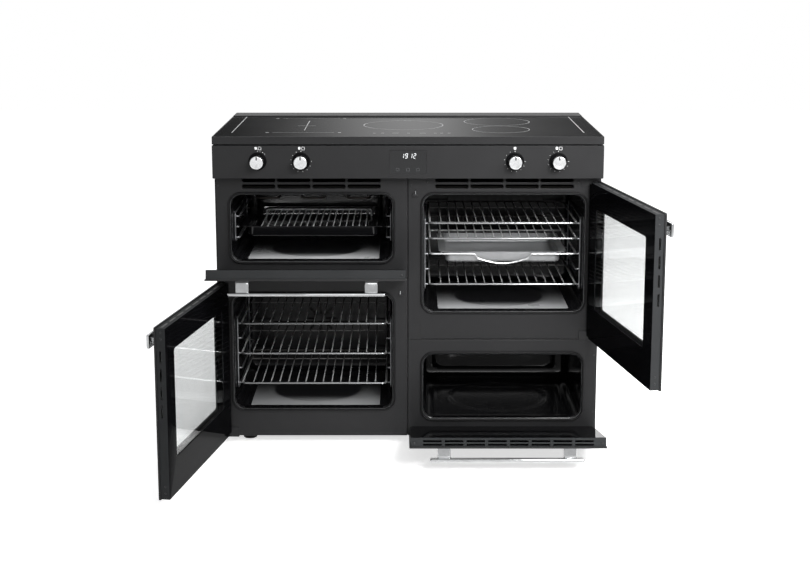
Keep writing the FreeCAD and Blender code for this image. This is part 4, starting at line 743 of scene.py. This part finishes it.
# %% Ladders in three cavities
RAIL_FRONT, RAIL_BACK, RAIL_WIRE = -198.0, 120.0, 2.5
LADDERS = {
    # cavity: lowest runner over the sill, levels, pitch
    "grill": (57.0, 3, 31.0),
    "left_oven": (60.0, 5, 45.0),
    "right_oven": (66.0, 5, 45.0),
}


def ladder(middle, sill, base, levels, pitch, hand):
    """One side's loop, its runners and the four short pegs that hold it to the wall."""
    upright, runner, wall = (middle + hand * (HALF_OPENING - inset) for inset in (3.5, 15.5, 0.0))
    low, high = sill + base - pitch / 3, sill + base + pitch * (levels - 1) + pitch / 3
    square = [(RAIL_FRONT, low), (RAIL_BACK, low), (RAIL_BACK, high), (RAIL_FRONT, high)]
    loop = bent([(upright, y, z) for y, z in square], 9, closed=True)
    parts = [tube(loop, RAIL_WIRE, (1, 0, 0), closed=True)]
    for level in range(levels):
        z = sill + base + level * pitch
        corners = [(upright, RAIL_FRONT), (runner, RAIL_FRONT), (runner, RAIL_BACK), (upright, RAIL_BACK)]
        parts.append(tube(bent([(*corner, z) for corner in corners], 6), RAIL_WIRE))
    ends = np.array([(0, y, z) for y in (RAIL_FRONT + 14, RAIL_BACK - 14) for z in (low, high)])
    parts.append(rods(ends + [upright, 0, 0], ends + [wall, 0, 0], RAIL_WIRE))
    return parts


for cavity, (base, levels, pitch) in LADDERS.items():
    middle, sill = CAVITIES[cavity][:2]
    wires = [wire for hand in (-1, 1) for wire in ladder(middle, sill, base, levels, pitch, hand)]
    item = piece(f"{cavity}_ladders", together(*wires), dull_wire, "cabinet", "wire", f"{cavity}_rails")
    print(cavity, "ladders", len(item.data.polygons), "faces")

# %% [markdown]
# ## Wire shelves
#
# A shelf is a closed frame of stout wire with thinner rods welded on top from front to
# back, and one more wire across that keeps them level. Its colour is painted light near
# the door and painted shade towards the fan, where it also grows rougher, and the front
# wire itself is painted a darker grey as painted shade.

# %% Six shelves
SHELF_FRONT, SHELF_BACK, SHELF_HALF = -225.0, 139.5, 214.0
FRAME_WIRE, CROSS_WIRE, ROD_WIRE, RODS = 2.6, 1.8, 1.6, 15


def shelf_frame(middle, z):
    """The closed frame, its corners bent to 12 mm."""
    half = SHELF_HALF - FRAME_WIRE
    corners = [(-half, SHELF_FRONT), (half, SHELF_FRONT), (half, SHELF_BACK), (-half, SHELF_BACK)]
    loop = bent([(*corner, z) for corner in corners], 12, closed=True)
    return moved(tube(loop, FRAME_WIRE, closed=True), middle)


def shelf(middle, z):
    """The frame with its rods and the wire across."""
    xs = np.linspace(-SHELF_HALF + 34.8, SHELF_HALF - 34.8, RODS)
    starts = np.stack([xs, np.full(RODS, SHELF_FRONT), np.full(RODS, 1.0)], axis=1)
    grid = moved(rods(starts, starts + [0, SHELF_BACK - SHELF_FRONT, 0], ROD_WIRE), middle, 0, z)
    across = rods([middle - SHELF_HALF + 3, 40, z], [middle + SHELF_HALF - 3, 40, z], CROSS_WIRE)
    return together(shelf_frame(middle, z), grid, across)


# painted light and shade on the wire: bright near the door, dark towards the back and on the front wire
# itself; the roughness also rises towards the back
shelf_wire, tree = blank("shelf_wire_painted_light_and_shade")
place = add(tree, "TexCoord").outputs["Object"]
apart = add(tree, "SeparateXYZ", {0: place})
shade_and_roughness_to_back = add(tree, "MapRange", {0: apart.outputs["Y"], 1: -0.19, 2: 0.09},
           interpolation_type="SMOOTHSTEP")
front_wire_shade_mask = add(tree, "MapRange", {0: apart.outputs["Y"], 1: -0.2215, 2: -0.212})
cloud = add(tree, "TexNoise", {"Vector": place, "Scale": 1 / (30 * MM), "Detail": 3.0})
painted_front_light = add(tree, "Mix", {0: cloud, 6: "#E2E3E3", 7: "#F4F4F4"}, data_type="RGBA")
front_wire_painted_shade = add(tree, "Mix", {0: front_wire_shade_mask, 6: "#757677", 7: painted_front_light}, data_type="RGBA")
painted_back_shade = add(tree, "Mix", {0: cloud, 6: "#262524", 7: "#3A3836"}, data_type="RGBA")
tint = add(tree, "Mix", {0: shade_and_roughness_to_back, 6: front_wire_painted_shade, 7: painted_back_shade}, data_type="RGBA")
gloss = add(tree, "MapRange", {0: shade_and_roughness_to_back, 3: 0.22, 4: 0.5})
surfaced(tree, place, 1.2, 0.006, {"Base Color": tint, "Roughness": gloss, "Metallic": 0.3})

SHELVES = {
    "left_shelf_low": (LEFT, 177.4), "left_shelf_middle": (LEFT, 267.4), "left_shelf_high": (LEFT, 357.4),
    "right_shelf_low": (RIGHT, 475.4), "right_shelf_middle": (RIGHT, 610.4),
    "right_shelf_high": (RIGHT, 655.4),
}
for name, (middle, z) in SHELVES.items():
    piece(f"{name}_wires", shelf(middle, z), shelf_wire, f"{name}_body", "wire", name)
print("shelves", len(SHELVES))

# %% [markdown]
# ## Roasting tin in its cradle, grill pan and trivet
#
# Both tins are pressed from one sheet: a flat floor, a round turn, upright walls and a
# flat rim. Rounded outlines of growing size carry that profile round, down the outside,
# over the rim and down the inside again, so the tin has a real wall. The cradle is a shelf
# frame whose front wire steps down and dips in a shallow curve.

# %% Tins and wire work
def basin(width, near, far, rim, depth, radius, lip):
    """Rings of (outward, height) round the tin: up the outside, round the rim, and down
    the inside, with quarter circles of 8 mm at the foot. The lip runs along the two
    sides only, as its flanges lie on the ladders."""
    foot, wall = 8.0, 1.5
    outside = [(-foot + foot * math.sin(t), -depth + foot * (1 - math.cos(t))) for t in QUARTER]
    bore = foot - wall
    inside = [(-foot + bore * math.sin(t), -depth + foot - bore * math.cos(t)) for t in QUARTER]
    profile = outside + [(0, -wall), (lip, -wall), (lip, 0), (-wall, 0)] + inside[::-1]
    rings = []
    for outward, height in profile:
        sideways, endways = (outward, 1.2) if outward == lip else (outward, outward)
        wide, deep = width + 2 * sideways, far - near + 2 * endways
        flat = round_outline(wide, deep, radius + min(outward, 2))
        rings.append(placed(flat, rim + height, "xyz"))
    return moved(lofted(np.array(rings)), 0, (near + far) / 2)


CRADLE_Z, BAIL_HALF, DIP, BAIL_SPOTS = 565.4, 84.0, 28.0, 61
share = np.linspace(-1, 1, BAIL_SPOTS)
# each half of the dip: a quick S down by 45 percent, then a shallow curve to the middle
step_down = 1 - step(np.abs(share), 0.84, 1.0)
curve = np.cos(np.clip(np.abs(share) / 0.9, 0, 1) * math.pi / 2)
drop = DIP * (0.45 * step_down + 0.55 * curve)
bail = np.stack([share * BAIL_HALF, np.full(BAIL_SPOTS, SHELF_FRONT), -drop], axis=1)
half, start = SHELF_HALF - FRAME_WIRE, BAIL_HALF + 4
rest = bent([(start, SHELF_FRONT, 0), (half, SHELF_FRONT, 0), (half, SHELF_BACK, 0),
             (-half, SHELF_BACK, 0), (-half, SHELF_FRONT, 0), (-start, SHELF_FRONT, 0)], 12)
frame_loop = tube(np.concatenate([bail, rest]), FRAME_WIRE, closed=True)
inner_wires = rods([[x, SHELF_FRONT, 0.9] for x in (-178, 178)],
                   [[x, SHELF_BACK, 0.9] for x in (-178, 178)], 2.0)
cradle = moved(together(frame_loop, inner_wires), RIGHT, 0, CRADLE_Z)
piece("roasting_cradle", cradle, chromed_wire, "roasting_tray_body", "wire", "roasting_tray")
tin = moved(basin(width=332, near=-214.6, far=75.5, rim=569.8, depth=31, radius=18, lip=19), RIGHT)
piece("roasting_tin", tin, tinned_steel, "roasting_tray_body", "tin_steel", "roasting_tray")
pan = moved(basin(width=376, near=-213, far=125, rim=644.3, depth=30, radius=18, lip=26), LEFT)
piece("grill_pan_pressing", pan, fresh_enamel, "grill_pan_body", "enamel", "grill_pan")

TRIVET_Z, TRIVET_FOOT, TRIVET_HALF, TRIVET_RODS = 638.1, 617.6, 165.0, 17
NEAR_BAR, FAR_BAR = -194.0, 106.0
xs = np.linspace(-TRIVET_HALF + 13, TRIVET_HALF - 13, TRIVET_RODS)
starts = np.stack([xs, np.full(TRIVET_RODS, NEAR_BAR), np.full(TRIVET_RODS, TRIVET_Z)], axis=1)
leg = TRIVET_HALF - FRAME_WIRE
shapes = [rods(starts, starts + [0, FAR_BAR - NEAR_BAR, 0], ROD_WIRE)]
for y in (NEAR_BAR, FAR_BAR):
    corners = [(-leg, y, TRIVET_FOOT), (-leg, y, TRIVET_Z), (leg, y, TRIVET_Z), (leg, y, TRIVET_FOOT)]
    shapes.append(tube(bent(corners, 6), FRAME_WIRE, (0, 1, 0)))
trivet = moved(together(*shapes), LEFT)
piece("grill_trivet_wires", trivet, chromed_wire, "grill_trivet_body", "wire", "grill_trivet")
print("tins and trivet done")

# %% [markdown]
# ## Elements
#
# The grill's heating tube runs to and fro under its ceiling; two ring elements sit round
# the fans. Their oxidised steel is matt and brown-black. The ring is a circle carried
# round a circle, closed on itself.

# %% Heating tubes
oxidised = finish("oxidised_element_steel", "#3A3634", "#4C4744", (0.45, 0.6), 22, 1.4, 0.01, metallic=0.8)
TUBE_WIRE, FIRST_LEG, LEG_PITCH, ELEMENT_Z = 3.3, -440.0, 66.0, 722.0
NEAR_BEND, FAR_BEND, ELEMENT_BACK = -183.0, 105.0, 165.0
corners = [(FIRST_LEG, ELEMENT_BACK, ELEMENT_Z)]
for number in range(5):
    x, end = FIRST_LEG + number * LEG_PITCH, (NEAR_BEND, FAR_BEND)[number % 2]
    corners += [(x, end, ELEMENT_Z), (x + LEG_PITCH, end, ELEMENT_Z)]
corners.append((FIRST_LEG + 5 * LEG_PITCH, ELEMENT_BACK, ELEMENT_Z))
shapes = [tube(bent(corners, 22), TUBE_WIRE)]
RING_RADIUS, RING_Y = 82, 155.0
loop = placed(RING_RADIUS * circle(48), RING_Y, "xzy")
stubs = np.array([(hand * 27, RING_Y, 77.4) for hand in (-1, 1)])
for middle, z in ((LEFT, 281), (RIGHT, 573)):
    shapes += [moved(tube(loop, TUBE_WIRE, (0, 1, 0), closed=True), middle, 0, z),
               moved(rods(stubs, stubs + [0, ELEMENT_BACK - RING_Y, 0], 3.0), middle, 0, z)]
piece("heating_tubes", together(*shapes), oxidised, "cabinet", "black_steel", "heating_elements")
print("heating tubes done")

# %% [markdown]
# ## Knobs and bezels
#
# Each knob is turned and plated: a flat cap with a soft rim, a waist behind it, and a
# short spindle. On a lathe one profile makes it, so here a profile of (radius, depth)
# goes round the knob's axis. A dark bar let into the cap shows where it points.

# %% Four knobs on black bezels
KNOB_Z, PANEL_Y = 845.5, HOB_FRONT
KNOBS = {"knob_far_left": -422.0, "knob_left": -300.0, "knob_right": 300.0, "knob_far_right": 422.0}
rim = np.linspace(0, math.pi / 2, 7)
cap_profile = [(0.05, -37.4), (8.0, -37.5), (14.6, -37.9)]
cap_profile += [(16.2 + 2.3 * math.sin(t), -38 + 2.3 * (1 - math.cos(t))) for t in rim]
cap_profile += [(18.4, -30.0), (17.6, -22.0), (17.3, -12.0), (17.5, -6.0), (18.0, -3.4),
                (3.0, -3.3), (3.0, 24.0), (0.05, 24.0)]
bezel_profile = [(3.3, 0.0), (25.4, 0.0), (25.5, -1.2), (25.1, -2.4), (24.0, -3.0),
                 (20.5, -3.0), (19.6, -2.3), (3.3, -2.3)]
pointer_black = finish("black_pointer_fill", "#050505", "#0C0C0C", (0.4, 0.5), 10, 0.8, 0.01)
cap = turned(cap_profile, 72)
for name, x in KNOBS.items():
    piece(f"{name}_cap", moved(cap, x, PANEL_Y, KNOB_Z), satin_chrome, f"{name}_body", "chrome", name)
    mark = soft_slab((x, PANEL_Y - 37.65, KNOB_Z + 12.6), 3.6, 9.4, 1.3, 0.8, 0.3)
    piece(f"{name}_pointer", mark, pointer_black, f"{name}_body", "black_plastic")
bezels = scattered(turned(bezel_profile, 72), [(x, PANEL_Y, KNOB_Z) for x in KNOBS.values()])
piece("knob_bezel_discs", bezels, moulded_black, "cabinet", "black_plastic", "knob_bezels")
print("knobs", list(KNOBS))

# %% [markdown]
# ## Door handles
#
# A slim flat bar with rounded edges stands off the door on two feet. All four are drawn
# on the shut door and swung open with it.

# %% Four handles
def handle(middle, height):
    """The bar and its two feet, on a shut door whose outer face lies at y = -15."""
    bar = soft_slab((middle, -52.5, height), 428, 38, 9, 4.4, 3.2)
    foot = soft_slab((middle, -34.0, height), 36, 13, 38, 3.0, 1.0)
    return together(bar, scattered(foot, [(-175,), (175,)]))


HANDLES = {"left_oven_door": (257.5, 405.0), "right_oven_door": (-257.5, 405.0),
           "grill_door": (0.0, 215.0), "slow_oven_door": (0.0, 215.0)}
for door, (middle, height) in HANDLES.items():
    piece(f"{door}_bar", on_door(handle(middle, height), door), chrome, door, "chrome", f"{door}_handle")
print("handles", list(HANDLES))

# %% [markdown]
# ## Feet
#
# Each foot is a rubber-shod disc on a threaded stem, turned on a lathe.

# %% Four feet
thread = np.linspace(0, 1, 15)
foot_profile = [(0.05, 0.0), (18.6, 0.0), (20.0, 1.4), (20.0, 4.6), (18.8, 6.0), (8.0, 6.4)]
foot_profile += [(6.0 - 0.5 * (k % 2), 7 + 19 * share_up) for k, share_up in enumerate(thread)]
foot_profile += [(0.05, 26.0)]
foot_spots = [(x, y) for x in (-470, 470) for y in (-185, 240)]
feet = scattered(turned(foot_profile, 40, "z"), foot_spots)
piece("foot_discs", feet, rubber, "cabinet", "rubber", "levelling_feet")
print("feet", len(foot_spots))

# %% [markdown]
# ## Printed marks on the hob
#
# The cooking zones are fired onto the glass-ceramic as fine grey lines: circles, a flex
# zone marked by dots and thin lines, and a long line near each end. A line is a flat
# ribbon: a path and its copy set out sideways, joined into faces that look up.

# %% Hob marks
GLASS_TOP = 915.06
fired_grey = finish("fired_ceramic_print", "#8E8F90", "#A4A5A6", (0.35, 0.5), 30, 1.2, 0.002)


def ribbon(path, width, closed=False):
    """A flat strip along a level path: each spot goes half the width to either side,
    square to the path's direction there."""
    path = np.asarray(path, float)
    along = np.roll(path, -1, 0) - np.roll(path, 1, 0) if closed else np.gradient(path, axis=0)
    along /= np.linalg.norm(along, axis=1, keepdims=True)
    side = np.stack([-along[:, 1], along[:, 0], 0 * along[:, 0]], axis=1) * width / 2
    points = np.concatenate([path - side, path + side])
    count = len(path)
    first = np.arange(count if closed else count - 1)
    after = (first + 1) % count
    return points, np.stack([first, after, after + count, first + count], axis=1).tolist()


def ring_mark(x, setback, radius, width=1.6):
    """A printed circle, its middle that far behind the hob's front edge."""
    loop = placed([x, HOB_FRONT + setback] + radius * circle(96), GLASS_TOP, "xyz")
    return ribbon(loop, width, closed=True)


def line_mark(x0, y0, x1, y1, width=1.6):
    """A printed straight line between two spots given from the hob's front edge."""
    return ribbon([(x0, HOB_FRONT + y0, GLASS_TOP), (x1, HOB_FRONT + y1, GLASS_TOP)], width)


marks = [ring_mark(-13, 285, 118, 2.2), ring_mark(271, 373, 99, 2.0), ring_mark(271, 175, 83, 2.0)]
marks += [line_mark(x, 95, x, 515, 3.0) for x in (-504, 504)]
marks += [line_mark(-388, y, -211, y, 1.6) for y in (99, 462)]
marks += [ring_mark(x, y, 3.2, 3.6) for x in (-403, -196) for y in (99, 462)]
marks += [line_mark(-300, 150, -300, 396, 2.4), line_mark(-326, 266, -274, 266, 2.4)]
marks += [line_mark(x - 9, 85, x + 9, 85, 4.0) for x in (-36, 42)]
marks += [ring_mark(x, 85, 3.0, 2.0) for x in (-96, -72, 2, 78, 96, 118)]
piece("hob_zone_marks", together(*marks), fired_grey, "cabinet", "hob_glass")
print("hob marks", len(marks))

# %% [markdown]
# ## Marks on the control panel, and the clock
#
# Silk-screened marks sit round each knob: ticks for the settings and a small sign of the
# cavity above. The clock shows four digits in bars of light, each digit a choice of the
# seven bars, leaning a little, with three faint touch marks under them.

# %% Panel print and clock
print_white = finish("silk_screen_white_ink", "#D9DADB", "#EFEFEF", (0.4, 0.5), 20, 0.9, 0.002)
print_grey = finish("silk_screen_grey_ink", "#3E4042", "#4A4C4E", (0.4, 0.5), 20, 0.9, 0.002)
PRINT_Y = PANEL_Y - 0.15


def flat_bar(x, z, wide, high, tilt=0.0):
    """A thin printed bar, centred at x, z and leaning by tilt from upright, 0.3 mm thick."""
    points, faces = soft_slab((0, 0, 0), wide, high, 0.3, min(wide, high) * 0.3, 0.05, per_corner=3)
    c, s = math.cos(tilt), math.sin(tilt)
    return points @ np.array([[c, 0, -s], [0, 1, 0], [s, 0, c]]) + [x, PRINT_Y, z], faces


TICK_RADIUS, LEAN = 29.0, 0.16
OUTLINE = ((6, 40.4, 9, 1.0), (6, 32.4, 9, 1.0), (2, 36.4, 1.0, 8.6), (10, 36.4, 1.0, 8.6))
panel_marks = []
for name, x in KNOBS.items():
    degrees = (0, 315, 330, 345) if name == "knob_far_left" else range(0, 271, 27)
    for angle in np.radians(degrees):
        across, up = -TICK_RADIUS * math.sin(angle), TICK_RADIUS * math.cos(angle)
        panel_marks.append(flat_bar(x + across, KNOB_Z + up, 0.9, 2.2, -angle))
    panel_marks.append(flat_bar(x, KNOB_Z + 28.6, 1.3, 3.6))
    # the sign of the cavity: a filled square, and beside it an outlined one
    panel_marks.append(flat_bar(x + (0 if name == "knob_right" else -4.6), KNOB_Z + 37, 7.0, 7.6))
    if name != "knob_right":
        for dx, dz, wide, high in OUTLINE:
            panel_marks.append(flat_bar(x + dx, KNOB_Z + dz, wide, high))
piece("control_panel_marks", together(*panel_marks), print_white, "cabinet", "black_steel")

display_light, tree = blank("display_light")
place = add(tree, "TexCoord").outputs["Object"]
flicker = add(tree, "TexNoise", {"Vector": place, "Scale": 1 / (3 * MM)})
shine = add(tree, "Mix", {0: flicker, 6: "#D5D9DC", 7: "#F4F6F7"}, data_type="RGBA")
shader = add(tree, "BsdfPrincipled", {"Base Color": shine, "Roughness": 0.5,
                                      "Emission Color": shine, "Emission Strength": 0.45})
add(tree, "OutputMaterial", {"Surface": shader})

# the seven bars: across the top, middle and bottom, then upper left, upper right, lower ones
BARS = {"a": (0, 1, 0), "g": (0, 0, 0), "d": (0, -1, 0), "f": (-1, 0.5, 1), "b": (1, 0.5, 1),
        "e": (-1, -0.5, 1), "c": (1, -0.5, 1)}
DIGIT_Z, HALF_DIGIT = 861, 6.4
DIGITS = {"1": "bc", "9": "abcdfg", "2": "abged"}
digit_bars = []
for digit, x in zip("1912", (-15.0, -4.5, 8.5, 19.0)):
    for bar in DIGITS[digit]:
        side, level, upright = BARS[bar]
        rise = level * HALF_DIGIT
        wide, high, tilt = (1.2, 5.4, LEAN) if upright else (4.6, 1.2, 0.0)
        digit_bars.append(flat_bar(x + side * 2.9 + LEAN * rise, DIGIT_Z + rise, wide, high, tilt))
piece("clock_digits", together(*digit_bars), display_light, "cabinet", "display")
TOUCH = ((0, 3.6, 8.4, 0.8), (0, -3.6, 8.4, 0.8), (-4, 0, 0.8, 7.2), (4, 0, 0.8, 7.2))
touch_marks = [flat_bar(x + dx, 822 + dz, wide, high) for x in (-29, 0, 28) for dx, dz, wide, high in TOUCH]
piece("clock_touch_marks", together(*touch_marks), print_grey, "cabinet", "display")
print("panel marks", len(panel_marks), "digit bars", len(digit_bars))

# %% [markdown]
# ## Small hardware
#
# Catches beside the openings, screws in the frames and in the doors' edges, and the slots
# along the side doors' tops are small, but the eye misses them when they are gone. Each
# slot is a thin black slab on the door's top, painted shade that stands for its opening.
# A screw is turned: a low dome with a countersunk ring round it.

# %% Catches, screws and slots
screw_profile = [(0.05, -1.5), (1.6, -1.4), (2.6, -0.9), (3.0, -0.2), (3.1, 0.4), (0.05, 0.4)]
screw = turned(screw_profile, 20)
FRAME_SCREWS = [(-541, 60), (-541, 420), (541, 271), (541, 100), (-9, 60), (9, 770), (-541, 770),
                (486, 781), (55, 781)]
screws = scattered(screw, [(x, FACE_Y, z) for x, z in FRAME_SCREWS])
piece("frame_screws", screws, channel_paint, "cabinet", "black_steel")
hook = bent([(0, -254, 0), (0, -259, 0), (0, -259, 7), (0, -256.6, 9.5)], 1.5)
hooks = scattered(tube(hook, 1.3, (1, 0, 0)), [(22, 0, 746), (-22, 0, 452)])
piece("catch_hooks", hooks, bright_zinc, "cabinet", "zinc_steel")

SIDE_SCREWS = [(526.5, 3.0, z) for z in (20, 38, 430, 447)]
EDGE_SCREWS = {
    # door: axis of its screws, the way their heads look along it, their spots on the shut door
    "left_oven_door": ("x", 1, SIDE_SCREWS),
    "right_oven_door": ("x", -1, [(-x, y, z) for x, y, z in SIDE_SCREWS]),
    "grill_door": ("z", 1, [(258, 0.0, 267.2)]),
    "slow_oven_door": ("z", 1, [(-258, 0.0, 267.2), (258, 0.0, 267.2)]),
}
for door, (axis, hand, spots) in EDGE_SCREWS.items():
    edge_screw = turned([(r, -a * hand) for r, a in screw_profile], 20, axis)
    screws = on_door(scattered(edge_screw, spots), door)
    piece(f"{door}_edge_screws", screws, channel_paint, door, "black_steel")
    if axis == "x":
        # a slot: a black slab laid on the door's top as painted shade, not a hole
        slot = soft_slab((0, 2.0, 457.2), 46, 6, 0.8, 2.8, 0.2, "xyz")
        slot_shades = on_door(scattered(slot, [(hand * x,) for x in range(60, 500, 62)]), door)
        piece(f"{door}_top_slot_shades", slot_shades, pointer_black, door, "black_plastic")
print("screws", len(FRAME_SCREWS), "in the frames")
